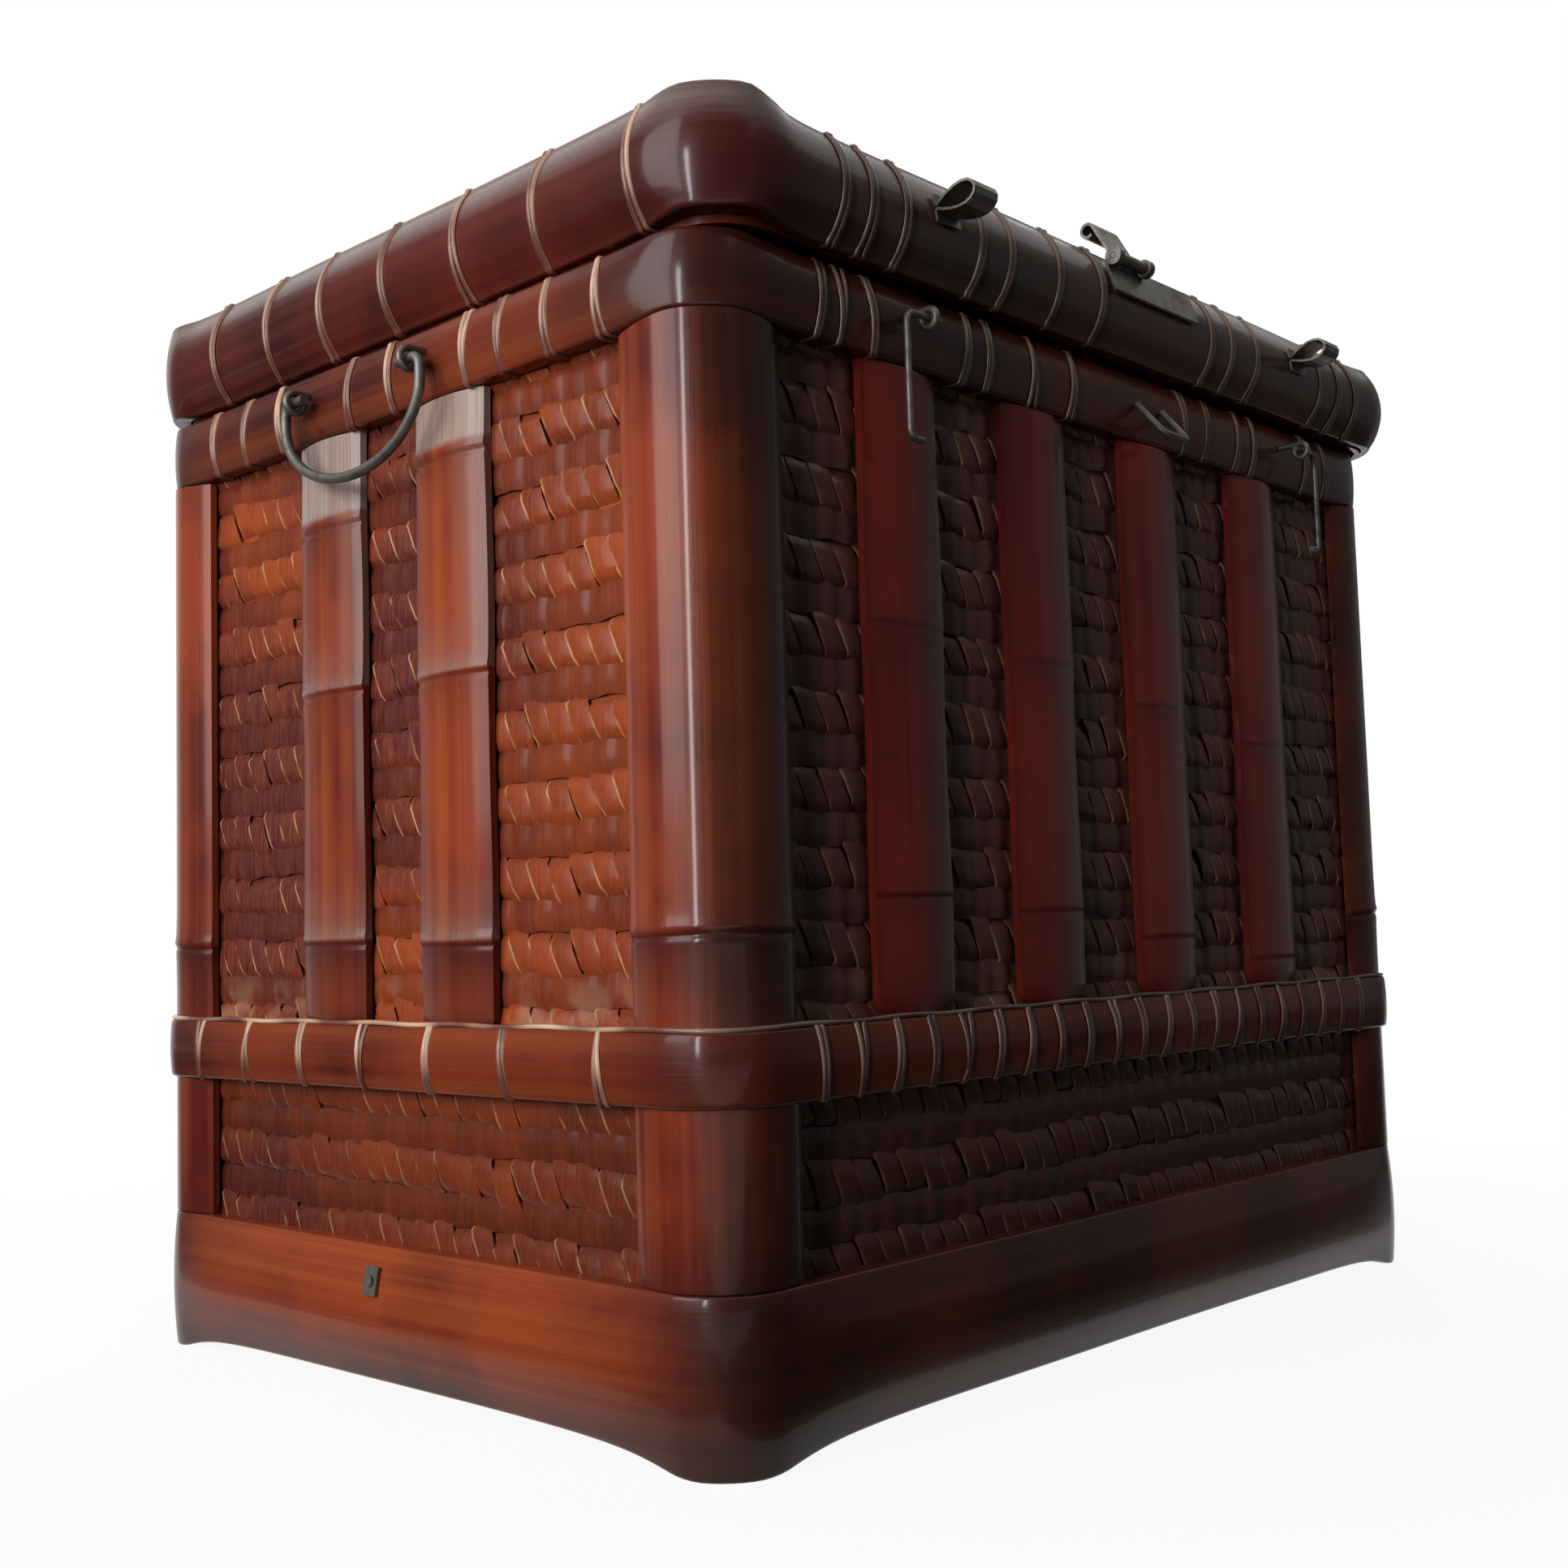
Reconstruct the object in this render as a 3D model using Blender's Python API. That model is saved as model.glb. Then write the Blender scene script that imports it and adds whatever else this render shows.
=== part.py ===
"""A lacquered bamboo chest: a woven box bound by bent bamboo bands, with a hinged lid, bails and iron latches.

Metres, +Z up. The front with the hasp faces -Y and the ends with the bails face +X and -X.
"""

import math

import bmesh
import bpy
from mathutils import Matrix, Vector

# Woven box, measured on the outside of its wall
BODY_LENGTH = 0.480
BODY_DEPTH = 0.3535
CORNER_RADIUS = 0.020
WALL = 0.004
WALL_FOOT = 0.012
FLOOR_LEVEL = 0.030
FLOOR_THICKNESS = 0.005
HOOP_THICKNESS = 0.007
COLLAR_RISE = 0.010
COLLAR_HEIGHT = 0.030

# Clearance between pieces that touch, how far cutters run past what they cut, and what counts as one point
GAP = 0.0004
CUT = 0.005
WELD = 1e-6

# Bent bamboo bands: heights, then projections from the woven wall at the lips and at the crown.
# A band flattens where it is bent round a corner, and its edges move there by a lift
PLINTH_TOP = 0.0594
PLINTH_ARCH = 0.0080
PLINTH_EDGE = 0.0080
PLINTH_CROWN = 0.0125
PLINTH_BEND_EDGE = 0.0070
PLINTH_BEND_CROWN = 0.0085
PLINTH_SPREAD = 0.022
WAIST_BOTTOM = 0.1191
WAIST_HEIGHT = 0.0253
WAIST_EDGE = 0.0082
WAIST_CROWN = 0.0105
WAIST_BEND_EDGE = 0.0094
WAIST_BEND_CROWN = 0.0100
WAIST_SPREAD = 0.030
RIM_BOTTOM = 0.3858
RIM_HEIGHT = 0.0282
RIM_EDGE = 0.0076
RIM_CROWN = 0.0102
RIM_BEND_EDGE = 0.0066
RIM_BEND_CROWN = 0.0074
RIM_LIFT = 0.0025
RIM_SPREAD = 0.012
BAND_CHAMFER = 0.0015
BEND_FLAT = 0.006

# Split-bamboo corner posts and slats
POST_THICKNESS = 0.0066
POST_EDGE = 0.0030
POST_END_TAIL = 0.018
POST_FRONT_TAIL = 0.014
SLAT_WIDTH = 0.044
SLAT_THICKNESS = 0.0062
SLAT_EDGE = 0.0030
FRONT_SLAT_1 = -0.141
FRONT_SLAT_2 = -0.0545
FRONT_SLAT_3 = 0.0325
FRONT_SLAT_4 = 0.124
END_SLAT_1 = -0.0405
END_SLAT_2 = 0.0415

# Lid, which sits a little askew on the box, with its band standing a little over the rim
LID_SHIFT_X = 0.0035
LID_SHIFT_Y = -0.0054
LID_REST = 0.0036
LID_HEIGHT = 0.0406
LID_EDGE = 0.0090
LID_CROWN = 0.0170
LID_BEND_EDGE = 0.0140
LID_BEND_CROWN = 0.0168
LID_BOTTOM_LIFT = 0.0024
LID_TOP_LIFT = 0.0052
LID_SPREAD = 0.008
LID_PLAY = 0.0025
LID_WALL = 0.0030
LID_PANEL = 0.004
LID_RECESS = 0.0045
LID_SLAT_THICKNESS = 0.0036
LID_SLAT_EDGE = 0.0022

# Iron wire: bails, hooks, hinge loops and the eyes that hold them.
# A hinge loop goes into the lid band a drop below its middle
EYE_WIRE = 0.0030
EYE_PLAY = 0.0005
EYE_TURN = math.radians(285)
BAIL_WIRE = 0.0042
BAIL_STANDOFF = 0.0170
BAIL_Y = 0.0065
BAIL_EYES = 0.080
BAIL_SIDE = 0.007
BAIL_DROP = 0.038
BAIL_END = 0.007
BAIL_BEND = 0.0045
HOOK_WIRE = 0.0026
HOOK_STANDOFF = 0.0210
HOOK_EYE_X = 0.143
HOOK_SIDE = 0.013
HOOK_END = 0.006
HOOK_LENGTH = 0.047
HOOK_TIP = 0.007
HOOK_BEND = 0.0035
HINGE_WIRE = 0.0032
HINGE_STANDOFF = 0.0215
HINGE_X = 0.130
HINGE_WIDTH = 0.020
HINGE_DROP = 0.0080
HINGE_BEND = 0.0040
STAPLE_WIRE = 0.0030
STAPLE_X = 0.023
STAPLE_WIDTH = 0.020
STAPLE_REACH = 0.020
STAPLE_DROOP = math.radians(50)
STAPLE_BEND = 0.004

# Iron strip: lid loops, hasp and plinth clips, each placed by its drop from the top of its band
LOOP_X = 0.136
LOOP_WIDTH = 0.014
LOOP_STRIP = 0.0010
LOOP_REACH = 0.019
LOOP_HEIGHT = 0.0090
LOOP_FLANGE = 0.0055
LOOP_DROP = 0.0160
LOOP_TURN = math.radians(150)
LEAF_X = 0.0090
LEAF_WIDTH = 0.066
LEAF_HEIGHT = 0.015
LEAF_THICKNESS = 0.0012
LEAF_DROP = 0.0120
TONGUE_X = -0.0105
TONGUE_WIDTH = 0.019
TONGUE_STRIP = 0.0012
TONGUE_LENGTH = 0.021
TONGUE_ANGLE = math.radians(60)
TONGUE_ROLL = 0.0070
TONGUE_ROLL_TURN = math.radians(285)
PIN_RADIUS = 0.0011
PIN_PLAY = 0.0003
KNUCKLE_DROP = 0.0005
KNUCKLE_PLAY = 0.0008
KNUCKLE_TURN = math.radians(265)
KNUCKLE_BITE = 0.0005
LUG_LENGTH = 0.0035
CLIP_WIDTH = 0.008
CLIP_HEIGHT = 0.011
CLIP_THICKNESS = 0.0012
CLIP_DROP = 0.0129
CLIP_Y = 0.005
NAIL_RADIUS = 0.0022
NAIL_HEAD = 0.0010

# Facets of the round stretches
CORNER_STEPS = 6
SIDE_STOPS = (0.006, 0.014, 0.026, 0.045, 0.080)
CROWN_STEPS = 8
RING_STEPS = 14
BAIL_STEPS = 14
BEND_STEPS = 4
ROUND_SIDES = 16

# Heights and places that follow from the sizes above
WAIST_TOP = WAIST_BOTTOM + WAIST_HEIGHT
RIM_TOP = RIM_BOTTOM + RIM_HEIGHT
RIM_MIDDLE = (RIM_BOTTOM + RIM_TOP) / 2
COLLAR_TOP = RIM_TOP + RIM_LIFT + COLLAR_RISE
HOOP_FACE = -WALL - GAP
FRONT_SLATS = (FRONT_SLAT_1, FRONT_SLAT_2, FRONT_SLAT_3, FRONT_SLAT_4)
END_SLATS = (END_SLAT_1, END_SLAT_2)
LID_BOTTOM = RIM_TOP + LID_REST
LID_TOP = LID_BOTTOM + LID_HEIGHT
LID_MIDDLE = (LID_BOTTOM + LID_TOP) / 2
LOOP_RISE = LID_HEIGHT / 2 - LOOP_DROP
LEAF_RISE = LID_HEIGHT / 2 - LEAF_DROP
CLIP_LEVEL = PLINTH_TOP - CLIP_DROP
TRAY_FOOT = RIM_TOP + RIM_LIFT + GAP
TRAY_FACE = LID_PLAY + LID_WALL
TRAY_TOP = LID_TOP - LID_RECESS
KNUCKLE_RADIUS = PIN_RADIUS + PIN_PLAY + TONGUE_STRIP
BAIL_RING = BAIL_WIRE / 2 + EYE_PLAY + EYE_WIRE / 2
HOOK_RING = HOOK_WIRE / 2 + EYE_PLAY + EYE_WIRE / 2
HINGE_RING = HINGE_WIRE / 2 + EYE_PLAY + EYE_WIRE / 2
BACK_REACH = HINGE_STANDOFF + HINGE_RING + EYE_WIRE / 2
LID_SHIFT = Vector((LID_SHIFT_X, LID_SHIFT_Y, 0))

# Each band's bottom, top, edge and crown, on the sides and at the middle of a corner
PLINTH_SIDE = (PLINTH_ARCH, PLINTH_TOP, PLINTH_EDGE, PLINTH_CROWN)
PLINTH_BEND = (0, PLINTH_TOP, PLINTH_BEND_EDGE, PLINTH_BEND_CROWN)
WAIST_SIDE = (WAIST_BOTTOM, WAIST_TOP, WAIST_EDGE, WAIST_CROWN)
WAIST_BEND = (WAIST_BOTTOM, WAIST_TOP, WAIST_BEND_EDGE, WAIST_BEND_CROWN)
RIM_SIDE = (RIM_BOTTOM, RIM_TOP, RIM_EDGE, RIM_CROWN)
RIM_BEND = (RIM_BOTTOM + RIM_LIFT, RIM_TOP + RIM_LIFT, RIM_BEND_EDGE, RIM_BEND_CROWN)
LID_SIDE = (LID_BOTTOM, LID_TOP, LID_EDGE, LID_CROWN)
LID_BEND = (LID_BOTTOM + LID_BOTTOM_LIFT, LID_TOP + LID_TOP_LIFT, LID_BEND_EDGE, LID_BEND_CROWN)


def linear(channel):
    """One sRGB channel, 0 to 255, as a linear value."""
    value = channel / 255
    return value / 12.92 if value <= 0.04045 else ((value + 0.055) / 1.055) ** 2.4


def material(name, colour, roughness, metallic=0.0):
    """A Principled material from an sRGB colour."""
    made = bpy.data.materials.new(name)
    made.use_nodes = True
    shader = made.node_tree.nodes["Principled BSDF"]
    shader.inputs["Base Color"].default_value = (*[linear(c) for c in colour], 1)
    shader.inputs["Roughness"].default_value = roughness
    shader.inputs["Metallic"].default_value = metallic
    made.diffuse_color = (*[c / 255 for c in colour], 1)
    return made


for old in list(bpy.data.objects):
    bpy.data.objects.remove(old, do_unlink=True)

chest = bpy.data.collections.new("bamboo_chest")
cutters = bpy.data.collections.new("cutters")
bpy.context.scene.collection.children.link(chest)
bpy.context.scene.collection.children.link(cutters)

WOVEN = material("woven_bamboo", (132, 62, 36), 0.45)
BAMBOO = material("split_bamboo", (138, 60, 34), 0.30)
BAND = material("bent_bamboo", (104, 40, 24), 0.28)
PALE = material("plain_bamboo", (150, 104, 62), 0.55)
IRON = material("dark_iron", (92, 90, 86), 0.48, 0.85)


def empty(name, location, parent=None):
    """A frame that pieces are placed in."""
    made = bpy.data.objects.new(name, None)
    made.location = location
    made.parent = parent
    chest.objects.link(made)
    return made


def seat(piece, finish, on_lid=False):
    """Give a piece its material and its place on the box or on the lid."""
    if finish:
        piece.data.materials.clear()
        piece.data.materials.append(finish)
    piece.parent = LID_FRAME if on_lid else BODY_FRAME
    if on_lid:
        piece.matrix_parent_inverse = Matrix.Translation(LID_SHIFT - HINGE_AXIS)
    return piece


def outline_curve(name, outlines, thickness):
    """A flat outline, with any holes, given a thickness."""
    data = bpy.data.curves.new(name, "CURVE")
    data.dimensions = "2D"
    data.fill_mode = "BOTH"
    data.extrude = thickness / 2
    for outline in outlines:
        spline = data.splines.new("POLY")
        spline.points.add(len(outline) - 1)
        spline.use_cyclic_u = True
        for point, place in zip(spline.points, outline):
            point.co = (*place, 0, 1)
    made = bpy.data.objects.new(name, data)
    chest.objects.link(made)
    return made


def upright(name, outlines, bottom, top):
    """A plan outline carried from one height to another."""
    made = outline_curve(name, outlines, top - bottom)
    made.location.z = (bottom + top) / 2
    return made


def raw_mesh(curve):
    """The curve's shape as a mesh."""
    return bpy.data.meshes.new_from_object(curve.evaluated_get(bpy.context.evaluated_depsgraph_get()))


def mesh_object(name, mesh, collection):
    """A welded mesh as an object."""
    welded = bmesh.new()
    welded.from_mesh(mesh)
    bmesh.ops.remove_doubles(welded, verts=welded.verts, dist=WELD)
    bmesh.ops.recalc_face_normals(welded, faces=welded.faces)
    welded.to_mesh(mesh)
    welded.free()
    made = bpy.data.objects.new(name, mesh)
    collection.objects.link(made)
    return made


def as_mesh(curve, collection=chest):
    """A curve turned into a mesh object, so that it can be cut or joined."""
    name = curve.name
    mesh = raw_mesh(curve)
    place = curve.matrix_basis.copy()
    bpy.data.objects.remove(curve, do_unlink=True)
    made = mesh_object(name, mesh, collection)
    made.matrix_basis = place
    return made


def boolean(piece, tool, operation):
    """Cut or join a piece with a tool that stays out of the render."""
    tool.hide_render = True
    tool.display_type = "WIRE"
    change = piece.modifiers.new(tool.name, "BOOLEAN")
    change.operation = operation
    change.solver = "EXACT"
    change.object = tool


def wire(name, points, diameter):
    """A round wire along a line of points."""
    data = bpy.data.curves.new(name, "CURVE")
    data.dimensions = "3D"
    data.bevel_depth = diameter / 2
    data.bevel_resolution = 2
    data.use_fill_caps = True
    spline = data.splines.new("POLY")
    spline.points.add(len(points) - 1)
    for point, place in zip(spline.points, points):
        point.co = (*place, 1)
    made = bpy.data.objects.new(name, data)
    chest.objects.link(made)
    return made


def bent(points, radius):
    """The line through the points with each corner bent to a radius."""
    places = [Vector(point) for point in points]
    line = [places[0]]
    for before, corner, after in zip(places, places[1:], places[2:]):
        back = (before - corner).normalized()
        on = (after - corner).normalized()
        half = back.angle(on) / 2
        middle = corner + (back + on).normalized() * (radius / math.sin(half))
        start = corner + back * (radius / math.tan(half)) - middle
        turn = start.rotation_difference(corner + on * (radius / math.tan(half)) - middle)
        for step in range(BEND_STEPS + 1):
            part = Matrix.Rotation(turn.angle * step / BEND_STEPS, 3, turn.axis)
            line.append(middle + part @ start)
    line.append(places[-1])
    return line


def polar(centre, radius, turn):
    """The point at a distance and direction from a centre."""
    return (centre[0] + radius * math.cos(turn), centre[1] + radius * math.sin(turn))


def arc(centre, radius, start, end, steps):
    """Points along an arc."""
    return [polar(centre, radius, start + (end - start) * step / steps) for step in range(steps + 1)]


def circle(centre, radius):
    """The outline of a round piece or hole."""
    return arc(centre, radius, 0, 2 * math.pi, ROUND_SIDES)[:-1]


def ribbon(path, thickness):
    """The outline of a strip bent along a path, seen from its edge."""
    places = [Vector(point) for point in path]
    ahead = places[1:] + places[-1:]
    behind = places[:1] + places[:-1]
    across = [(after - before).orthogonal().normalized() for before, after in zip(behind, ahead)]
    left = [place + side * thickness / 2 for place, side in zip(places, across)]
    right = [place - side * thickness / 2 for place, side in zip(places, across)]
    return [tuple(point) for point in left + right[::-1]]


def plan(offset, stops=()):
    """The chest's plan outline at a distance outside its woven wall, with any stops along the sides."""
    points = []
    for quarter, (side_x, side_y) in enumerate(((1, 1), (-1, 1), (-1, -1), (1, -1))):
        centre = (side_x * (BODY_LENGTH / 2 - CORNER_RADIUS), side_y * (BODY_DEPTH / 2 - CORNER_RADIUS))
        start = math.pi / 2 * quarter
        end = start + math.pi / 2
        bend = arc(centre, CORNER_RADIUS + offset, start, end, CORNER_STEPS)
        points += [polar(bend[0], stop, start - math.pi / 2) for stop in reversed(stops)]
        points += bend
        points += [polar(bend[-1], stop, end + math.pi / 2) for stop in stops]
    return points


def bend_share(place, spread):
    """How far a band has its corner shape: wholly at the middle of a corner, less along the sides."""
    past_x = abs(place.x) - (BODY_LENGTH / 2 - CORNER_RADIUS)
    past_y = abs(place.y) - (BODY_DEPTH / 2 - CORNER_RADIUS)
    turn = math.atan2(max(past_y, 0), max(past_x, 0))
    distance = CORNER_RADIUS * abs(turn - math.pi / 4) + max(-past_x, 0) + max(-past_y, 0)
    return 1 / (1 + (max(distance - BEND_FLAT, 0) / spread) ** 2)


def arch_radius(span, rise):
    """The radius of an arch of a given span and rise."""
    return (span * span / 4 + rise * rise) / (2 * rise)


def arch(span, foot, rise):
    """Points along an arch from its left foot to its right."""
    radius = arch_radius(span, rise)
    half = math.asin(span / 2 / radius)
    middle = (0, foot + rise - radius)
    return arc(middle, radius, math.pi / 2 + half, math.pi / 2 - half, CROWN_STEPS)


def band_radius(bottom, top, edge, crown):
    """The radius of a band's convex face."""
    return arch_radius(top - bottom - 2 * BAND_CHAMFER, crown - edge)


def band_face(bottom, top, edge, crown, rise):
    """How far a band's face stands out at a height over its middle."""
    radius = band_radius(bottom, top, edge, crown)
    return crown - radius + math.sqrt(radius * radius - rise * rise)


def swept(bottom, top, edge, crown, back):
    """The mesh of a band's section carried round the chest."""
    middle = (bottom + top) / 2
    lip = edge - BAND_CHAMFER
    face = [(out, middle + up) for up, out in arch(top - bottom - 2 * BAND_CHAMFER, edge, crown - edge)]
    section = [(back, bottom), (lip, bottom), *face, (lip, top), (back, top)]
    profile = outline_curve("section", [[(-out, up) for out, up in section]], 0)
    profile.data.fill_mode = "NONE"
    path = outline_curve("path", [plan(0, SIDE_STOPS)], 0)
    path.data.fill_mode = "NONE"
    path.data.bevel_mode = "OBJECT"
    path.data.bevel_object = profile
    mesh = raw_mesh(path)
    bpy.data.objects.remove(path, do_unlink=True)
    bpy.data.objects.remove(profile, do_unlink=True)
    return mesh


def band(name, side, bend, spread, back=GAP):
    """A bamboo band round the chest, whose section changes from its sides to its corners."""
    mesh = swept(*side, back)
    corner = swept(*bend, back)
    for vertex, bent_to in zip(mesh.vertices, corner.vertices):
        vertex.co = vertex.co.lerp(bent_to.co, bend_share(vertex.co, spread))
    bpy.data.meshes.remove(corner)
    return mesh_object(name, mesh, chest)


def post_outline(side_x, side_y, spread=0.0, back=GAP):
    """A corner post's section in plan, or one wider all round by a clearance."""
    centre = (BODY_LENGTH / 2 - CORNER_RADIUS, BODY_DEPTH / 2 - CORNER_RADIUS)
    full = CORNER_RADIUS + GAP + POST_THICKNESS + spread
    thin = CORNER_RADIUS + GAP + POST_EDGE + spread
    base = CORNER_RADIUS + back
    low = centre[1] - POST_END_TAIL - spread
    inner = centre[0] - POST_FRONT_TAIL - spread
    points = [(centre[0] + base, low), (centre[0] + thin, low)]
    points += arc(centre, full, 0, math.pi / 2, CORNER_STEPS)
    points += [(inner, centre[1] + thin), (inner, centre[1] + base)]
    points += arc(centre, base, math.pi / 2, 0, CORNER_STEPS)
    return [(side_x * x, side_y * y) for x, y in points]


def corners():
    """The four corners' names and sides."""
    for row, side_y in (("front", -1), ("back", 1)):
        for column, side_x in (("left", -1), ("right", 1)):
            yield f"{row}_{column}", side_x, side_y


def woven_box():
    """The woven wall with its floor, the hoop under the floor and the collar that the lid fits over."""
    seat(upright("woven_body", [plan(0), plan(-WALL)], WALL_FOOT, RIM_TOP), WOVEN)
    floor_top = FLOOR_LEVEL + FLOOR_THICKNESS
    seat(upright("floor_panel", [plan(HOOP_FACE)], FLOOR_LEVEL, floor_top), PALE)
    hoop = [plan(HOOP_FACE), plan(HOOP_FACE - HOOP_THICKNESS)]
    seat(upright("foot_hoop", hoop, WALL_FOOT, FLOOR_LEVEL - GAP), PALE)
    seat(upright("inner_collar", hoop, COLLAR_TOP - COLLAR_HEIGHT, COLLAR_TOP), PALE)


def bands():
    """The plinth that the chest stands on, the waist a quarter of the way up and the rim."""
    seat(band("plinth_band", PLINTH_SIDE, PLINTH_BEND, PLINTH_SPREAD), BAND)
    seat(band("rim_band", RIM_SIDE, RIM_BEND, RIM_SPREAD), BAND)
    waist = seat(band("waist_band", WAIST_SIDE, WAIST_BEND, WAIST_SPREAD), BAND)
    for name, side_x, side_y in corners():
        pocket = [post_outline(side_x, side_y, GAP, -CUT)]
        tool = upright(name + "_pocket", pocket, WAIST_BOTTOM - CUT, WAIST_TOP + CUT)
        boolean(waist, seat(as_mesh(tool, cutters), None), "DIFFERENCE")


def posts():
    """A wide split culm wrapped round each corner, from the plinth up to the rim."""
    for name, side_x, side_y in corners():
        section = [post_outline(side_x, side_y)]
        made = as_mesh(upright(name + "_post", section, PLINTH_TOP + GAP, RIM_BOTTOM - GAP))
        for vertex in made.data.vertices:
            if vertex.co.z > 0:
                vertex.co.z += RIM_LIFT * bend_share(vertex.co, RIM_SPREAD)
        seat(made, BAMBOO)


def strip_section(edge, thickness):
    """A slat's section: a flat back and a convex face."""
    return [(-SLAT_WIDTH / 2, 0), *arch(SLAT_WIDTH, edge, thickness - edge), (SLAT_WIDTH / 2, 0)]


def slat(name, x, y, turn):
    """One upright slat between the waist and the rim."""
    section = [strip_section(SLAT_EDGE, SLAT_THICKNESS)]
    made = upright(name, section, WAIST_TOP + GAP, RIM_BOTTOM - GAP)
    made.location.x = x
    made.location.y = y
    made.rotation_euler.z = turn
    seat(made, BAMBOO)


def slats():
    """The slats on all four sides."""
    face_x = BODY_LENGTH / 2 + GAP
    face_y = BODY_DEPTH / 2 + GAP
    for number, x in enumerate(FRONT_SLATS, 1):
        slat(f"front_slat_{number}", x, -face_y, math.pi)
        slat(f"back_slat_{number}", x, face_y, 0)
    for number, y in enumerate(END_SLATS, 1):
        slat(f"left_slat_{number}", -face_x, y, math.pi / 2)
        slat(f"right_slat_{number}", face_x, y, -math.pi / 2)


def lid():
    """The woven lid, the band bent round it and the slats across its top."""
    tray = as_mesh(upright("woven_lid", [plan(TRAY_FACE)], TRAY_FOOT, TRAY_TOP))
    hollow = upright("lid_hollow", [plan(LID_PLAY)], TRAY_FOOT - CUT, TRAY_TOP - LID_PANEL)
    boolean(seat(tray, WOVEN, on_lid=True), seat(as_mesh(hollow, cutters), None, on_lid=True), "DIFFERENCE")
    seat(band("lid_band", LID_SIDE, LID_BEND, LID_SPREAD, TRAY_FACE + GAP), BAND, on_lid=True)
    length = BODY_DEPTH + 2 * (TRAY_FACE - GAP)
    for number, x in enumerate(FRONT_SLATS, 1):
        section = [strip_section(LID_SLAT_EDGE, LID_SLAT_THICKNESS)]
        made = outline_curve(f"lid_slat_{number}", section, length)
        made.rotation_euler.x = math.pi / 2
        made.location = (x, 0, TRAY_TOP + GAP)
        seat(made, BAMBOO, on_lid=True)


def eye(name, centre, outward, standoff, ring):
    """A wire bent into an eye whose stem meets the rim band."""
    reach = standoff - GAP - band_face(*RIM_SIDE, ring)
    side = [(-reach, ring), *arc((0, 0), ring, math.pi / 2, math.pi / 2 - EYE_TURN, RING_STEPS)]
    line = [Vector(outward) * out + Vector((0, 0, up)) for out, up in side]
    made = wire(name, line, EYE_WIRE)
    made.location = centre
    seat(made, IRON)


def bails():
    """A drop handle on each end, hung from two eyes."""
    half = BAIL_EYES / 2
    wide = half + BAIL_SIDE
    arm = bent([(0, half - BAIL_END, 0), (0, wide, 0), (0, wide, -2 * BAIL_BEND)], BAIL_BEND)
    turns = [math.pi * step / BAIL_STEPS for step in range(1, BAIL_STEPS)]
    depth = BAIL_DROP - 2 * BAIL_BEND
    bow = [Vector((0, wide * math.cos(t), -2 * BAIL_BEND - depth * math.sin(t))) for t in turns]
    other = [Vector((point.x, -point.y, point.z)) for point in reversed(arm)]
    for name, side in (("left", -1), ("right", 1)):
        pivot = Vector((side * (BODY_LENGTH / 2 + BAIL_STANDOFF), BAIL_Y, RIM_MIDDLE))
        for place, y in (("front", -half), ("back", half)):
            eye(f"{name}_handle_eye_{place}", pivot + Vector((0, y, 0)), (side, 0, 0), BAIL_STANDOFF, BAIL_RING)
        made = wire(f"{name}_bail", arm + bow + other, BAIL_WIRE)
        made.location = pivot
        seat(made, IRON)


def hooks():
    """A wire hook hanging under each lid loop."""
    for name, side in (("left", -1), ("right", 1)):
        pivot = (side * HOOK_EYE_X, -BODY_DEPTH / 2 - HOOK_STANDOFF, RIM_MIDDLE)
        eye(f"{name}_hook_eye", pivot, (0, -1, 0), HOOK_STANDOFF, HOOK_RING)
        shank = side * HOOK_SIDE
        tip = side * (HOOK_SIDE - HOOK_TIP)
        line = [(-side * HOOK_END, 0, 0), (shank, 0, 0), (shank, 0, -HOOK_LENGTH), (tip, 0, -HOOK_LENGTH)]
        made = wire(f"{name}_hook", bent(line, HOOK_BEND), HOOK_WIRE)
        made.location = pivot
        seat(made, IRON)


def hinges():
    """Two eyes on the back of the rim and the wire loops of the lid that turn in them."""
    top = LID_MIDDLE - HINGE_DROP
    face = BODY_DEPTH / 2 + GAP + band_face(*LID_SIDE, HINGE_DROP)
    for name, side in (("left", -1), ("right", 1)):
        pivot = HINGE_AXIS + Vector((side * HINGE_X, 0, 0))
        eye(f"{name}_hinge_eye", pivot, (0, 1, 0), HINGE_STANDOFF, HINGE_RING)
        turning = pivot - LID_SHIFT
        near = turning.x - HINGE_WIDTH / 2
        far = turning.x + HINGE_WIDTH / 2
        side_view = [(face, top), (turning.y, top), (turning.y, turning.z)]
        line = [(near, y, z) for y, z in side_view] + [(far, y, z) for y, z in reversed(side_view)]
        seat(wire(f"{name}_hinge_loop", bent(line, HINGE_BEND), HINGE_WIRE), IRON, on_lid=True)


def view_frame(outward):
    """Axes of a piece seen from its side: outward, up, and along the face."""
    out = Vector(outward)
    up = Vector((0, 0, 1))
    return Matrix((out, up, out.cross(up))).transposed().to_4x4()


def lid_place(x, rise):
    """The lid's front face at a height over its middle, leaning as it leans."""
    lean = math.asin(rise / band_radius(*LID_SIDE))
    place = Matrix.Translation((x, -BODY_DEPTH / 2 - band_face(*LID_SIDE, rise), LID_MIDDLE + rise))
    return place @ view_frame((0, -1, 0)) @ Matrix.Rotation(lean, 4, "Z")


def teardrop(turn):
    """A point of a lid loop's side view, which is round in front and pointed at its root."""
    fullest = math.sqrt(16 / 27)
    swell = LOOP_HEIGHT / 2 * math.sin(turn) * math.cos(turn / 2) / fullest
    return (LOOP_REACH * (1 + math.cos(turn)) / 2, swell)


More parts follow.
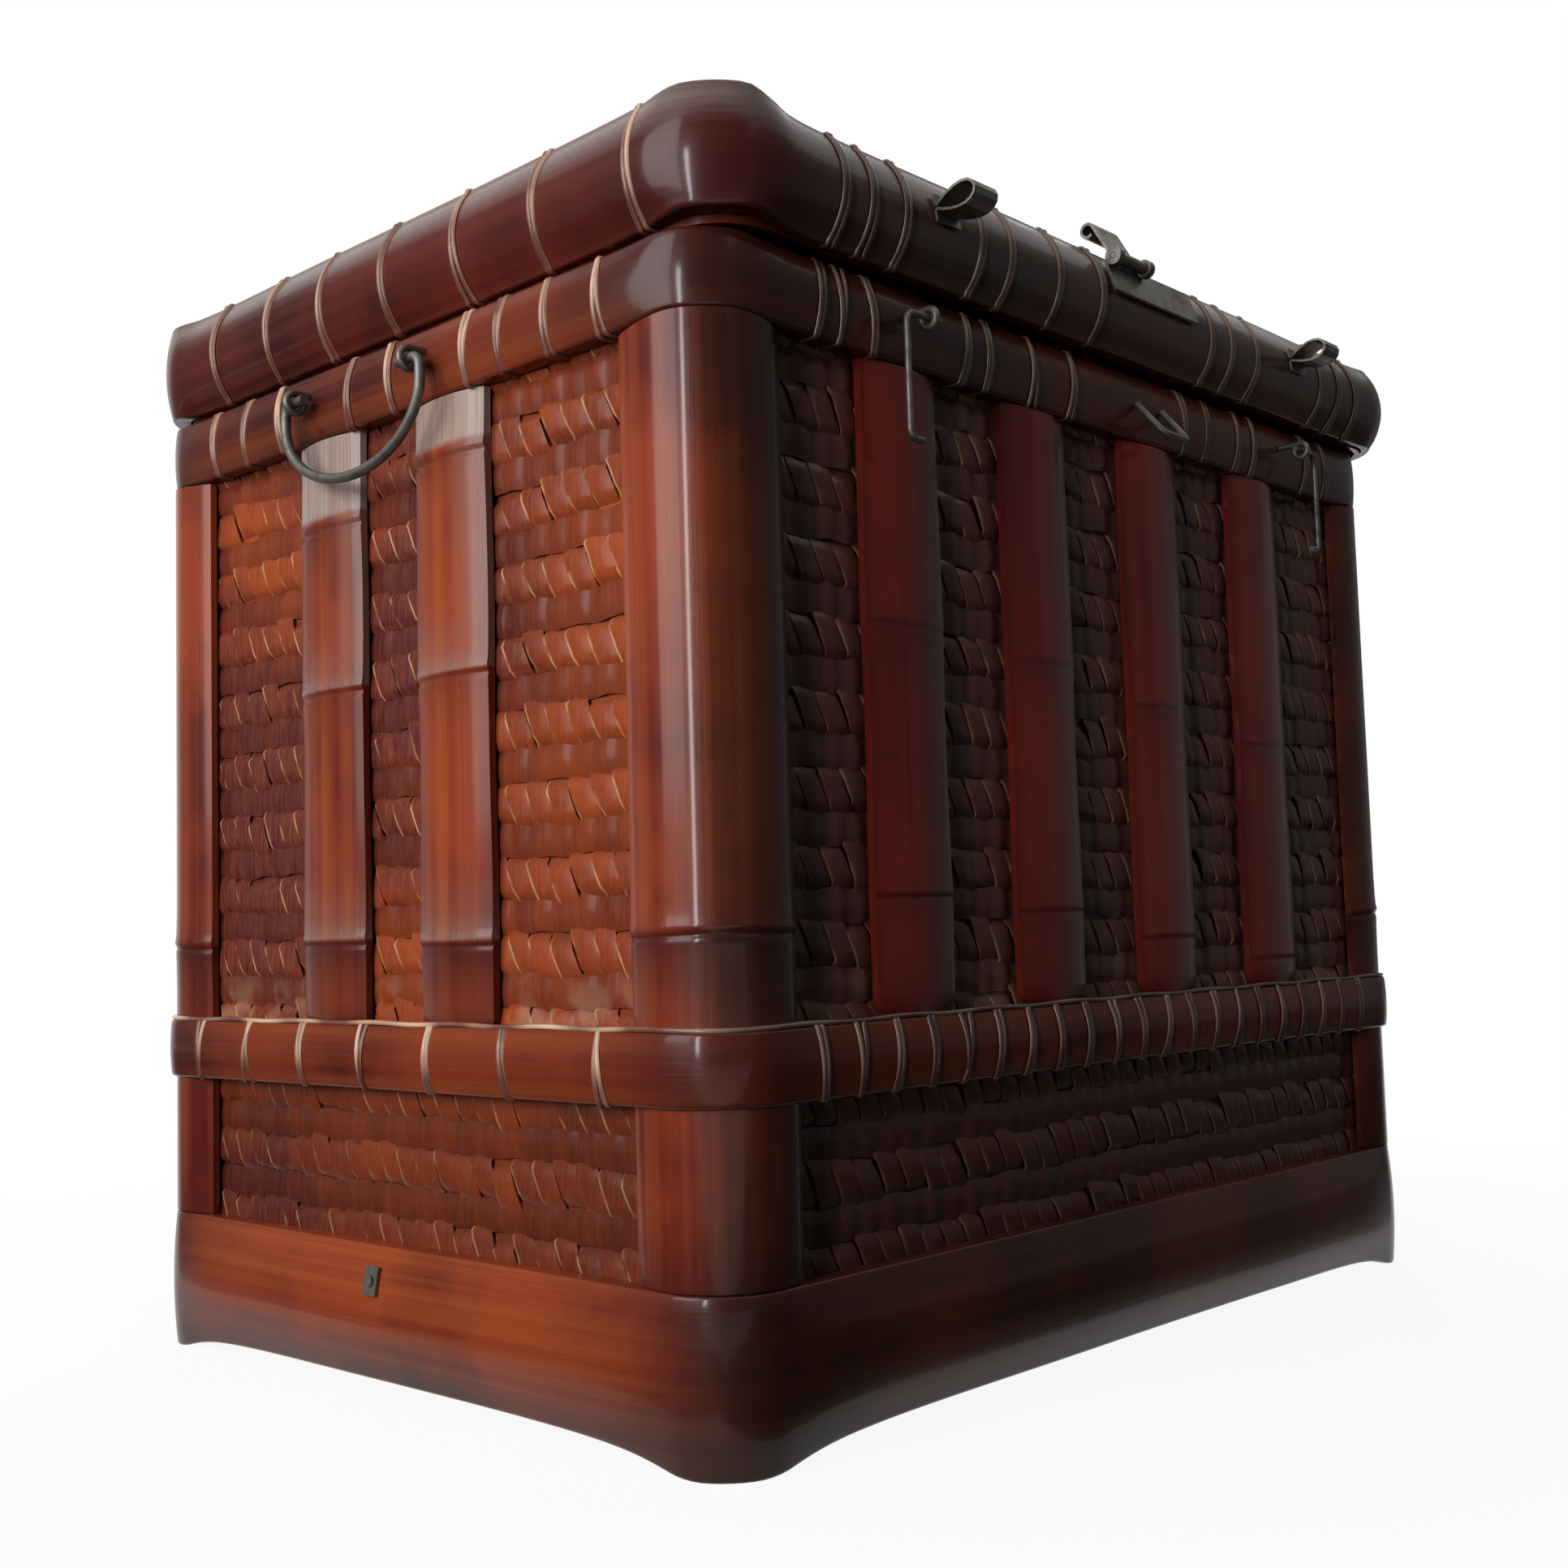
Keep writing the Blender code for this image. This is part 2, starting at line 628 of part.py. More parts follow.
def lid_loops():
    """Two eyes of folded strip on the front of the lid."""
    turns = [LOOP_TURN * (2 * step / RING_STEPS - 1) for step in range(RING_STEPS + 1)]
    root = LOOP_STRIP / 2
    neck = 2 * teardrop(LOOP_TURN)[1]
    path = [(root, -LOOP_FLANGE), (root, -neck), *map(teardrop, turns), (root, neck), (root, LOOP_FLANGE)]
    for name, side in (("left", -1), ("right", 1)):
        made = outline_curve(f"{name}_lid_loop", [ribbon(path, LOOP_STRIP)], LOOP_WIDTH)
        made.matrix_basis = lid_place(side * LOOP_X, LOOP_RISE) @ Matrix.Translation((GAP, 0, 0))
        seat(made, IRON, on_lid=True)


def hasp():
    """The leaf on the lid's front edge, the tongue that turns on its pin, and the staple on the rim."""
    lug_radius = KNUCKLE_RADIUS + KNUCKLE_PLAY + KNUCKLE_BITE
    face = GAP + LEAF_THICKNESS
    knuckle = (face + KNUCKLE_PLAY + KNUCKLE_RADIUS, LEAF_HEIGHT / 2 - KNUCKLE_DROP)
    low = -LEAF_HEIGHT / 2
    plate = [(GAP, low), (face, low), (face, -low), (GAP, -low)]
    leaf = as_mesh(outline_curve("hasp_leaf", [plate], LEAF_WIDTH))
    leaf.matrix_basis = lid_place(LEAF_X, LEAF_RISE)
    seat(leaf, IRON, on_lid=True)
    bore = circle(knuckle, PIN_RADIUS + PIN_PLAY)
    rim = circle(knuckle, lug_radius)
    for name, side in (("left", -1), ("right", 1)):
        x = TONGUE_X + side * (TONGUE_WIDTH / 2 + GAP + LUG_LENGTH / 2)
        lug = outline_curve(f"{name}_lug", [rim, bore], LUG_LENGTH)
        lug.matrix_basis = lid_place(x, LEAF_RISE)
        boolean(leaf, seat(as_mesh(lug, cutters), None, on_lid=True), "UNION")

    pivot = lid_place(TONGUE_X, LEAF_RISE) @ Vector((*knuckle, 0))
    place = Matrix.Translation(pivot) @ view_frame((0, -1, 0))
    pin = outline_curve("hasp_pin", [circle((0, 0), PIN_RADIUS)], TONGUE_WIDTH + 2 * (GAP + LUG_LENGTH))
    pin.matrix_basis = place
    seat(pin, IRON, on_lid=True)

    along = math.pi - TONGUE_ANGLE
    back = along + math.pi / 2
    radius = KNUCKLE_RADIUS - TONGUE_STRIP / 2
    path = arc((0, 0), radius, back + KNUCKLE_TURN, back, RING_STEPS)
    roll = TONGUE_ROLL / 2 - TONGUE_STRIP / 2
    middle = polar(polar(path[-1], TONGUE_LENGTH, along), roll, back)
    path += arc(middle, roll, back - math.pi, back - math.pi + TONGUE_ROLL_TURN, RING_STEPS)
    tongue = outline_curve("hasp_tongue", [ribbon(path, TONGUE_STRIP)], TONGUE_WIDTH)
    tongue.matrix_basis = place
    seat(tongue, IRON, on_lid=True)

    root = BODY_DEPTH / 2 + RIM_CROWN + GAP + math.sin(STAPLE_DROOP) * STAPLE_WIRE / 2
    bow = root + STAPLE_REACH * math.cos(STAPLE_DROOP)
    low = RIM_MIDDLE - STAPLE_REACH * math.sin(STAPLE_DROOP)
    near = STAPLE_X - STAPLE_WIDTH / 2
    far = STAPLE_X + STAPLE_WIDTH / 2
    line = [(near, -root, RIM_MIDDLE), (near, -bow, low), (far, -bow, low), (far, -root, RIM_MIDDLE)]
    seat(wire("hasp_staple", bent(line, STAPLE_BEND), STAPLE_WIRE), IRON)


def plinth_clips():
    """A small nailed plate over the plinth's joint at each end."""
    rise = CLIP_LEVEL - (PLINTH_ARCH + PLINTH_TOP) / 2
    lean = math.asin(rise / band_radius(*PLINTH_SIDE))
    low = -CLIP_HEIGHT / 2
    face = GAP + CLIP_THICKNESS
    plate = [(GAP, low), (face, low), (face, -low), (GAP, -low)]
    for name, side in (("left", -1), ("right", 1)):
        face_x = BODY_LENGTH / 2 + band_face(*PLINTH_SIDE, rise)
        place = Matrix.Translation((side * face_x, CLIP_Y, CLIP_LEVEL))
        place = place @ view_frame((side, 0, 0)) @ Matrix.Rotation(lean, 4, "Z")
        clip = as_mesh(outline_curve(f"{name}_plinth_clip", [plate], CLIP_WIDTH))
        clip.matrix_basis = place
        nail = outline_curve(f"{name}_nail", [circle((0, 0), NAIL_RADIUS)], CLIP_THICKNESS + NAIL_HEAD)
        nail.matrix_basis = place @ Matrix.Translation((face, 0, 0)) @ Matrix.Rotation(math.pi / 2, 4, "Y")
        boolean(seat(clip, IRON), seat(as_mesh(nail, cutters), None), "UNION")


# The chest is centred between its lid loops in front and its hinge eyes behind
lid_radius = band_radius(*LID_SIDE)
loop_lean = math.asin(LOOP_RISE / lid_radius)
loop_end = (lid_radius + GAP + LOOP_REACH + LOOP_STRIP / 2) * math.cos(loop_lean)
FRONT_REACH = LID_CROWN - lid_radius + loop_end - LID_SHIFT_Y
BODY_FRAME = empty("chest_frame", (0, (FRONT_REACH - BACK_REACH) / 2, 0))
HINGE_AXIS = Vector((0, BODY_DEPTH / 2 + HINGE_STANDOFF, RIM_MIDDLE))
LID_FRAME = empty("lid_hinge_axis", HINGE_AXIS, BODY_FRAME)

woven_box()
bands()
posts()
slats()
lid()
bails()
hooks()
hinges()
lid_loops()
hasp()
plinth_clips()
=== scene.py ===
import math

import bpy
import numpy as np
from mathutils import Matrix, Vector


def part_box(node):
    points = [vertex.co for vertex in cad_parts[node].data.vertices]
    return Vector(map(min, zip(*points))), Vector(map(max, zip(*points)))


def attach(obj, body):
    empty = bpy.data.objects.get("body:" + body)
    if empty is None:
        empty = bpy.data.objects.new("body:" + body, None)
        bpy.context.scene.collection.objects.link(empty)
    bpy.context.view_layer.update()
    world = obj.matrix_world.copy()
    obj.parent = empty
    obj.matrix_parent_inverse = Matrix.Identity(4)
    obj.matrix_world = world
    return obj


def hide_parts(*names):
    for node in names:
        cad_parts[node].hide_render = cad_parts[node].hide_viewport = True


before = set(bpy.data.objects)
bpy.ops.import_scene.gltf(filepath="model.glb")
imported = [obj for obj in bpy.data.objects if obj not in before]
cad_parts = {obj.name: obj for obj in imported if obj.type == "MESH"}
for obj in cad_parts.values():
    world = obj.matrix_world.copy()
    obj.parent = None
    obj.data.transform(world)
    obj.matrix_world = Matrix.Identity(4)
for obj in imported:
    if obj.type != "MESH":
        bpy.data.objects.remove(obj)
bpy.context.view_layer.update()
bpy.ops.object.select_all(action="DESELECT")

# The wall of the box is plaited from split bamboo. Each upright strip leans where it passes outside, dives
# behind a cross strip and leans back there. Brown lacquer went on after the weaving, and the sharp left edges
# are rubbed down to the pale bamboo in places, with a painted highlight along them as well.
CORNER = 0.020
WALL_LOW, WALL_HIGH = (Vector(corner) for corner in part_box("woven_body"))
CHEST = (WALL_LOW + WALL_HIGH) / 2
SIDE_X = (WALL_HIGH.x - WALL_LOW.x) / 2 - CORNER
SIDE_Y = (WALL_HIGH.y - WALL_LOW.y) / 2 - CORNER
BEND = CORNER * math.pi / 2
ROUND = 4 * (SIDE_X + SIDE_Y + BEND)
SIDE_STRIPS = {"front": 39, "right": 29, "back": 39, "left": 29}
STRIPS = sum(SIDE_STRIPS.values())
STRIP_FACES = 3
WALL_FACES = 128
STRIP_GAP = 0.0004
STRIP_LEAN = 0.0037
STRIP_THICKNESS = 0.0009
STRIP_SHARP = 50
WALL_RELIEF = {"sunk": 0.0037, "rise": 0.0030, "crown": 0.00055, "tilt": 0.00035}
ROW = 0.0275
ROW_START = -0.0017
ROW_SHIFT = 0.055
ROW_BULGE = 0.00016
OVER = 0.56
DIVE = 6
rng = np.random.default_rng(11)


def linear(code):
    """An sRGB hex colour as linear light."""
    parts = [int(code[at:at + 2], 16) / 255 for at in (1, 3, 5)]
    return [*[v / 12.92 if v <= 0.04045 else ((v + 0.055) / 1.055) ** 2.4 for v in parts], 1]


def add(tree, kind, inputs=(), **settings):
    """Adds a shader node with its settings, and feeds its inputs with values, sockets or other nodes."""
    made = tree.nodes.new("ShaderNode" + kind)
    for name, value in settings.items():
        setattr(made, name, value)
    for socket, value in dict(inputs).items():
        if isinstance(value, bpy.types.Node):
            value = next(output for output in value.outputs if output.enabled)
        if isinstance(value, bpy.types.NodeSocket):
            tree.links.new(value, made.inputs[socket])
        else:
            made.inputs[socket].default_value = value
    return made


def start_finish(name, **sockets):
    """A new material with the values that are the same all over it, and places to draw its patterns by."""
    made = bpy.data.materials.new(name)
    made.use_nodes = True
    shader = made.node_tree.nodes["Principled BSDF"]
    for socket, value in sockets.items():
        shader.inputs[socket.replace("_", " ")].default_value = value
    return made, made.node_tree, shader, add(made.node_tree, "TexCoord").outputs["Object"]


def vary_finish(tree, shader, colour, gloss, relief):
    """Feeds a material with its colour, and with a roughness and a relief that each follow a pattern."""
    pattern, least, most = gloss
    rough = add(tree, "MapRange", {"Value": pattern, "To Min": least, "To Max": most})
    pattern, strength, depth = relief
    ridges = add(tree, "Bump", {"Height": pattern, "Strength": strength, "Distance": depth})
    tree.links.new(colour.outputs[2], shader.inputs["Base Color"])
    tree.links.new(rough.outputs[0], shader.inputs["Roughness"])
    tree.links.new(ridges.outputs[0], shader.inputs["Normal"])


def lay_grid(name, across, along):
    """A flat sheet, one unit square, of so many faces each way."""
    bpy.ops.mesh.primitive_grid_add(x_subdivisions=across, y_subdivisions=along, size=1)
    made = bpy.context.object
    made.name = made.data.name = name
    return made


def apply(piece, kind, **settings):
    """Adds a modifier to the active piece and applies it."""
    change = piece.modifiers.new(kind.title(), kind)
    for name, value in settings.items():
        setattr(change, name, value)
    bpy.ops.object.modifier_apply(modifier=change.name)


def spots(piece):
    """The places of a piece's points."""
    flat = np.empty(3 * len(piece.data.vertices), np.float32)
    piece.data.vertices.foreach_get("co", flat)
    return flat.reshape(-1, 3).astype(float)


def lay_row(name, across, along, count, axis):
    """Flat sheets, modelled once and copied in a row, with each point's place on its sheet and its number."""
    piece = lay_grid(name, across, along)
    apply(piece, "ARRAY", count=count, use_relative_offset=False, use_constant_offset=True,
          constant_offset_displace=[2 if side == axis else 0 for side in range(3)])
    flat = spots(piece)
    number = np.rint(flat[:, axis] / 2).astype(int)
    flat[:, axis] -= 2 * number
    return piece, flat, number


def move_to(piece, *places):
    """Shapes a piece by moving its points."""
    piece.data.vertices.foreach_set("co", np.column_stack(places).astype(np.float32).ravel())
    piece.data.update()


def mark(piece, name, values):
    """Keeps a number for each point, which the piece's material reads."""
    layer = piece.data.attributes.new(name, "FLOAT", "POINT")
    layer.data.foreach_set("value", np.ascontiguousarray(values, np.float32))


def settle(piece, material, body, slot, *nodes):
    """Gives a piece its finish, the body that it moves with and the solids that it stands for."""
    piece.data.materials.clear()
    piece.data.materials.append(material)
    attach(piece, body)
    if nodes:
        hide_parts(*nodes)


def round_plan(along, out, middle=CHEST):
    """Places round the box, by the way along its wall from the left end of the front, and out from it."""
    along = np.mod(along, ROUND)
    out = np.broadcast_to(out, along.shape)
    places = np.zeros((len(along), 2))
    start = 0.0
    for quarter, (side_x, side_y) in enumerate(((1, -1), (1, 1), (-1, 1), (-1, -1))):
        run = 2 * (SIDE_X, SIDE_Y)[quarter % 2]
        turn = quarter * math.pi / 2
        past = along - start - run
        angle = turn + np.clip(past, 0, BEND) / CORNER
        outward = np.stack((np.sin(angle), -np.cos(angle)), 1)
        forward = np.array((math.cos(turn), math.sin(turn)))
        here = (past >= -run) & (past < BEND)
        spot = outward * (CORNER + out)[:, None] + np.minimum(past, 0)[:, None] * forward
        places[here] = spot[here] + (middle.x + side_x * SIDE_X, middle.y + side_y * SIDE_Y)
        start += run + BEND
    return places


def plait(phase):
    """How far outside a strip is along one row of the weave, and how far it leans."""
    swing = np.cos(2 * math.pi * (phase - OVER / 2)) - math.cos(math.pi * OVER)
    raised = 1 / (1 + np.exp(-DIVE * swing))
    lean = np.where(phase < OVER, 1 - 2 * phase / OVER, 2 * (phase - OVER) / (1 - OVER) - 1)
    return raised, lean


def uneven_rows(rows, number):
    """Rows as hand work leaves them: a strip's places shift a little, and so do its tones and bulges."""
    size = (number.max() + 1, int(rows.max()) + 4)
    row = np.floor(rows + 1.5).astype(int)
    part = rows + 1.5 - row
    shifts = rng.normal(0, ROW_SHIFT, size)
    rows = rows + (1 - part) * shifts[number, row] + part * shifts[number, row + 1]
    row = np.floor(rows).astype(int) + 2
    return rows, rng.random(size)[number, row], rng.normal(0, ROW_BULGE, size)[number, row]


def plaited(piece, across, rows, number, sunk, rise, crown, tilt):
    """Marks a row of strips for their finish, and gives how far each point stands out and leans."""
    rows, tones, bulge = uneven_rows(rows, number)
    raised, lean = plait(rows - np.floor(rows))
    mark(piece, "tone", tones)
    mark(piece, "raised", raised)
    mark(piece, "rub_and_highlight", raised)
    return -sunk + raised * (rise + bulge + crown * (1 - across**2) - tilt * across), lean


def thicken(piece):
    """Gives woven strips their thickness, inwards from their face."""
    apply(piece, "SOLIDIFY", thickness=STRIP_THICKNESS, offset=-1)


def smooth(angle):
    """Smooths all but the sharp edges of the active piece."""
    bpy.ops.object.shade_smooth_by_angle(angle=math.radians(angle))


# Lacquered split bamboo: satin brown over straw-coloured fibre, so it shows red-brown with fine upright
# streaks, and a pale line where an edge is rubbed, which carries a painted highlight too. The fibres are
# drawn
# 1.4 mm apart, coarser than real ones, to show. Painted shade darkens the recesses of the weave, the front,
# the weave below the waist and the back, and dust lies on the ledge that the waist makes.
FRONT_SHADE = (WALL_LOW.y + 0.006, WALL_LOW.y + 0.020)
LOW_SHADE = (0.118, 0.126)
DUST = (0.150, 0.166)
LEDGE = 0.13
weave_finish, tree, shader, place = start_finish(
    "lacquered_woven_bamboo", Specular_IOR_Level=0.10, Coat_Weight=0.18, Coat_Roughness=0.18)
tone, raised, rub_and_highlight = (
    add(tree, "Attribute", attribute_name=name).outputs["Fac"] for name in ("tone", "raised", "rub_and_highlight"))
spread = add(tree, "Mapping", {"Vector": place, "Scale": (700, 700, 45)})
fibre = add(tree, "TexNoise", {"Vector": spread, "Scale": 1, "Detail": 4, "Roughness": 0.6})
shift = add(tree, "Mapping", {"Vector": place, "Location": (0.05, 0.31, 0.2)})
patch = add(tree, "TexNoise", {"Vector": shift, "Scale": 7, "Detail": 4, "Roughness": 0.6})
depth = add(tree, "SeparateXYZ", {0: place})
# Random patches of maroon and orange, and painted shade that turns the colour maroon towards the back.
patch_and_far_shade = add(tree, "Math", {0: depth.outputs[1], 1: -0.60, 2: patch}, operation="MULTIPLY_ADD")
warm = add(tree, "MapRange", {"Value": patch_and_far_shade, "From Min": 0.40, "From Max": 0.60})
body = add(tree, "Mix", {0: warm, 6: linear("#4E1C22"), 7: linear("#98401C")}, data_type="RGBA")
vary = add(tree, "MapRange", {"Value": tone, "To Min": 0.0, "To Max": 0.45})
grain = add(tree, "MapRange", {"Value": fibre, "From Min": 0.35, "From Max": 0.7, "To Max": 0.35})
# Painted shade: strips darken where they dive behind a cross strip, and the outer cross strips at their
# edges.
painted_hollow_shade = add(tree, "MapRange", {"Value": raised, "From Max": 0.9, "To Min": 0.45, "To Max": 0.0})
sides = add(tree, "SeparateXYZ", {0: add(tree, "TexCoord").outputs["UV"]})
# A pale line along each raised strip's left edge: rubbed down to the pale bamboo in chips, and a painted
# highlight too.
edge = add(tree, "MapRange", {"Value": sides.outputs[0], "From Min": 0.12, "From Max": 0.04})
chips = add(tree, "TexNoise", {"Vector": place, "Scale": 65, "Detail": 2})
rubbed = add(tree, "MapRange", {"Value": chips, "From Min": 0.44, "From Max": 0.62})
both = add(tree, "Math", {0: edge, 1: rubbed}, operation="MULTIPLY")
bare_and_highlit = add(tree, "Math", {0: both, 1: rub_and_highlight}, operation="MULTIPLY")
# Painted shade: the weave turns a dusty grey-maroon on the front.
front_shade = add(tree, "MapRange", {"Value": depth.outputs[1], "From Min": FRONT_SHADE[0], "From Max": FRONT_SHADE[1],
                              "To Min": 0.65, "To Max": 0.0})
# Painted shade: the weave below the waist is darker.
low_shade = add(tree, "MapRange", {"Value": depth.outputs[2], "From Min": LOW_SHADE[0], "From Max": LOW_SHADE[1],
                              "To Min": 0.42, "To Max": 0.0})
close = add(tree, "MapRange", {"Value": depth.outputs[2], "From Min": DUST[0], "From Max": DUST[1],
                               "To Min": 0.4, "To Max": 0.0})
above = add(tree, "Math", {0: depth.outputs[2], 1: LEDGE}, operation="GREATER_THAN")
ledge = add(tree, "Math", {0: close, 1: above}, operation="MULTIPLY")
dust = add(tree, "Math", {0: ledge, 1: rubbed}, operation="MULTIPLY")
colour = body
for share, code in (
    (vary, "#5E241C"), (grain, "#A85C32"), (painted_hollow_shade, "#3A1511"), (bare_and_highlit, "#C79A6C"),
    (front_shade, "#5A4444"), (low_shade, "#32120F"), (dust, "#A8846C"),
):
    colour = add(tree, "Mix", {0: share, 6: colour, 7: linear(code)}, data_type="RGBA")
vary_finish(tree, shader, colour, (fibre, 0.30, 0.50), (fibre, 0.25, 0.0004))

first = 0
for name, count in SIDE_STRIPS.items():
    strips, flat, number = lay_row(f"{name}_upright_strips", STRIP_FACES, WALL_FACES, count, 0)
    across = 2 * flat[:, 0]
    height = WALL_LOW.z + (flat[:, 1] + 0.5) * (WALL_HIGH.z - WALL_LOW.z)
    out, lean = plaited(strips, across, (height - ROW_START) / ROW, number, **WALL_RELIEF)
    pitch = ROUND / STRIPS
    along = (first + number + 0.5) * pitch + across * (pitch - STRIP_GAP) / 2 + STRIP_LEAN * lean
    move_to(strips, round_plan(along, out), height)
    thicken(strips)
    smooth(STRIP_SHARP)
    settle(strips, weave_finish, "chest", "woven_bamboo", "woven_body")
    first += count

# Cross strips hold the weave together. A narrow one goes round the box in front of the uprights where these
# dive inside, and a wide one behind them where they pass outside. They are cut from the same split bamboo.
ROWS = int((WALL_HIGH.z - ROW_START) / ROW - OVER / 2)
OUTER_WIDTH = 0.0126
OUTER_FACE = -0.0010
OUTER_CROWN = 0.0009
OUTER_WAVE_OUT = 0.0002
OUTER_WAVE_UP = 0.0005
INNER_WIDTH = 0.0190
INNER_FACE = -0.0031
CROSS_WANDER = 0.0004
CROSS_WANDERS = 23
CROSS_BULGE = 0.0004


def ripple(along, count, phase=0):
    """A wave that runs so many times in one way round the box."""
    return np.sin(along * 2 * math.pi * count / ROUND + phase)


def close_up(piece, angle=40):
    """Merges the seam, closes the ends, turns the faces outwards and smooths all but the sharp edges."""
    bpy.ops.object.mode_set(mode="EDIT")
    bpy.ops.mesh.select_all(action="SELECT")
    bpy.ops.mesh.remove_doubles(threshold=1e-6)
    bpy.ops.mesh.fill_holes(sides=0)
    bpy.ops.mesh.normals_make_consistent(inside=False)
    bpy.ops.object.mode_set(mode="OBJECT")
    smooth(angle)


for name, inner, width, faces, wide in (
    ("outer_cross_strips", False, OUTER_WIDTH, 5 * STRIPS, STRIP_FACES),
    ("inner_cross_strips", True, INNER_WIDTH, 2 * STRIPS, 1),
):
    strips, flat, number = lay_row(name, faces, wide, ROWS, 1)
    across = 2 * flat[:, 1]
    along = (flat[:, 0] + 0.5) * ROUND
    level = ROW_START + ROW * (number + (1 + OVER / 2 if inner else (1 + OVER) / 2))
    height = level + across * width / 2 + CROSS_WANDER * ripple(along, CROSS_WANDERS, 10 * number)
    cell = along / ROUND * STRIPS
    mark(strips, "tone", rng.random((ROWS, STRIPS))[number, np.floor(cell).astype(int) % STRIPS])
    if inner:
        out = np.full(len(along), INNER_FACE)
        mark(strips, "raised", np.ones(len(along)))
    else:
        wave = ripple(along, STRIPS / 2, 4.8 * number)
        bulge = CROSS_BULGE * np.cos(2 * math.pi * (cell - 0.5))
        out = OUTER_FACE - OUTER_CROWN * across**2 + OUTER_WAVE_OUT * wave + bulge
        height += OUTER_WAVE_UP * wave
        # How much painted shade a cross strip in front takes: more at its edges and where it dips in.
        mark(strips, "raised", 0.30 - 0.22 * across**2 + 0.14 * wave)
    move_to(strips, round_plan(along, out), height)
    thicken(strips)
    close_up(strips, STRIP_SHARP)
    settle(strips, weave_finish, "chest", "woven_bamboo")

# The floor is a plain bamboo panel, and the hoop below it, bent from the same bamboo, carries it inside the
# foot of the wall. Neither shows from outside, so they were scraped and left without lacquer.
# Scraped bamboo: straw brown and dull, with darker streaks along the fibre about 3 mm apart.
plain_finish, tree, shader, place = start_finish("scraped_plain_bamboo", Specular_IOR_Level=0.3)
spread = add(tree, "Mapping", {"Vector": place, "Scale": (6, 330, 330)})
fibre = add(tree, "TexNoise", {"Vector": spread, "Scale": 1, "Detail": 5, "Roughness": 0.65})
patch = add(tree, "TexNoise", {"Vector": place, "Scale": 9, "Detail": 3})
body = add(tree, "Mix", {0: patch, 6: linear("#7A4D2A"), 7: linear("#A87746")}, data_type="RGBA")
grain = add(tree, "MapRange", {"Value": fibre, "From Min": 0.4, "From Max": 0.7, "To Max": 0.7})
colour = add(tree, "Mix", {0: grain, 6: body, 7: linear("#5C3419")}, data_type="RGBA")
vary_finish(tree, shader, colour, (fibre, 0.5, 0.7), (fibre, 0.3, 0.0005))


def paint(material, *names):
    """Gives its finish to solids that show as they are."""
    for name in names:
        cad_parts[name].data.materials.clear()
        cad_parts[name].data.materials.append(material)


paint(plain_finish, "floor_panel", "foot_hoop")

# Four half culms are bent round the box and the lid over heat. Bending flattens a culm at the corners, lifts
# the lid's and the rim's there, and lets the plinth's corners down as feet. Thick lacquer makes them dark and
# glossy.
GAP = 0.0004
BEND_FLAT = 0.006
LIP = 0.0015
LIP_STEPS = 3
FACE_STEPS = 16
SECTION_STEPS = FACE_STEPS + 2 * LIP_STEPS + 3
ROUND_STEPS = 640
BAND_SHARP = 45
BAND_WANDER = 0.00025
BAND_WANDERS = 9
SCORCH_SPREAD = 0.028
ALL_CORNERS = (1, 1, 1, 1)
LEFT_MIDDLE = 4 * SIDE_X + 3 * SIDE_Y + 3 * BEND
LID_MIDDLE = sum((Vector(corner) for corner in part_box("woven_lid")), Vector()) / 2
TRAY_FACE = 0.0055
LID_BACK = TRAY_FACE + GAP
# A band has its bottom, its top, and how far its edges and its crown stand out, along its sides and at its
# bends, with how far a bend's shape spreads along the sides. The lid's right corners have only a share of
# that shape, and its top is lifted along the left end.
PLINTH = {"side": (0.0080, 0.0594, 0.0080, 0.0125), "bend": (0, 0.0594, 0.0070, 0.0085), "spread": 0.022}
WAIST = {"side": (0.1191, 0.1444, 0.0082, 0.0105), "bend": (0.1191, 0.1444, 0.0094, 0.0100), "spread": 0.030}
RIM = {"side": (0.3858, 0.4140, 0.0076, 0.0102), "bend": (0.3883, 0.4165, 0.0066, 0.0074), "spread": 0.012}
LID = {"side": (0.4176, 0.4582, 0.0090, 0.0170), "bend": (0.4200, 0.4634, 0.0140, 0.0168), "spread": 0.008,
       "corners": (0.25, 0.25, 1, 1), "left_lift": 0.0045}


def corner_middle(quarter):
    """How far along the wall the middle of a corner is, counted from the front right one."""
    return sum(2 * (SIDE_X, SIDE_Y)[side % 2] + BEND for side in range(quarter + 1)) - BEND / 2


def bend_share(along, spread, corners=ALL_CORNERS):
    """How far a band has its corner shape: wholly at the middle of a corner, less along the sides."""
    share = np.zeros(np.shape(along))
    for quarter, most in enumerate(corners):
        away = np.abs(np.mod(along - corner_middle(quarter) + ROUND / 2, ROUND) - ROUND / 2)
        share = np.maximum(share, most / (1 + (np.maximum(away - BEND_FLAT, 0) / spread) ** 2))
    return share


def step_of(flat, steps):
    """Which of so many steps each point of a flat sheet is on."""
    return np.rint((flat + 0.5) * steps).astype(int)


def culm_radius(bottom, top, edge, crown):
    """The radius of a culm's rounded face."""
    span = top - bottom - 2 * LIP
    return (span**2 / 4 + (crown - edge) ** 2) / (2 * (crown - edge))


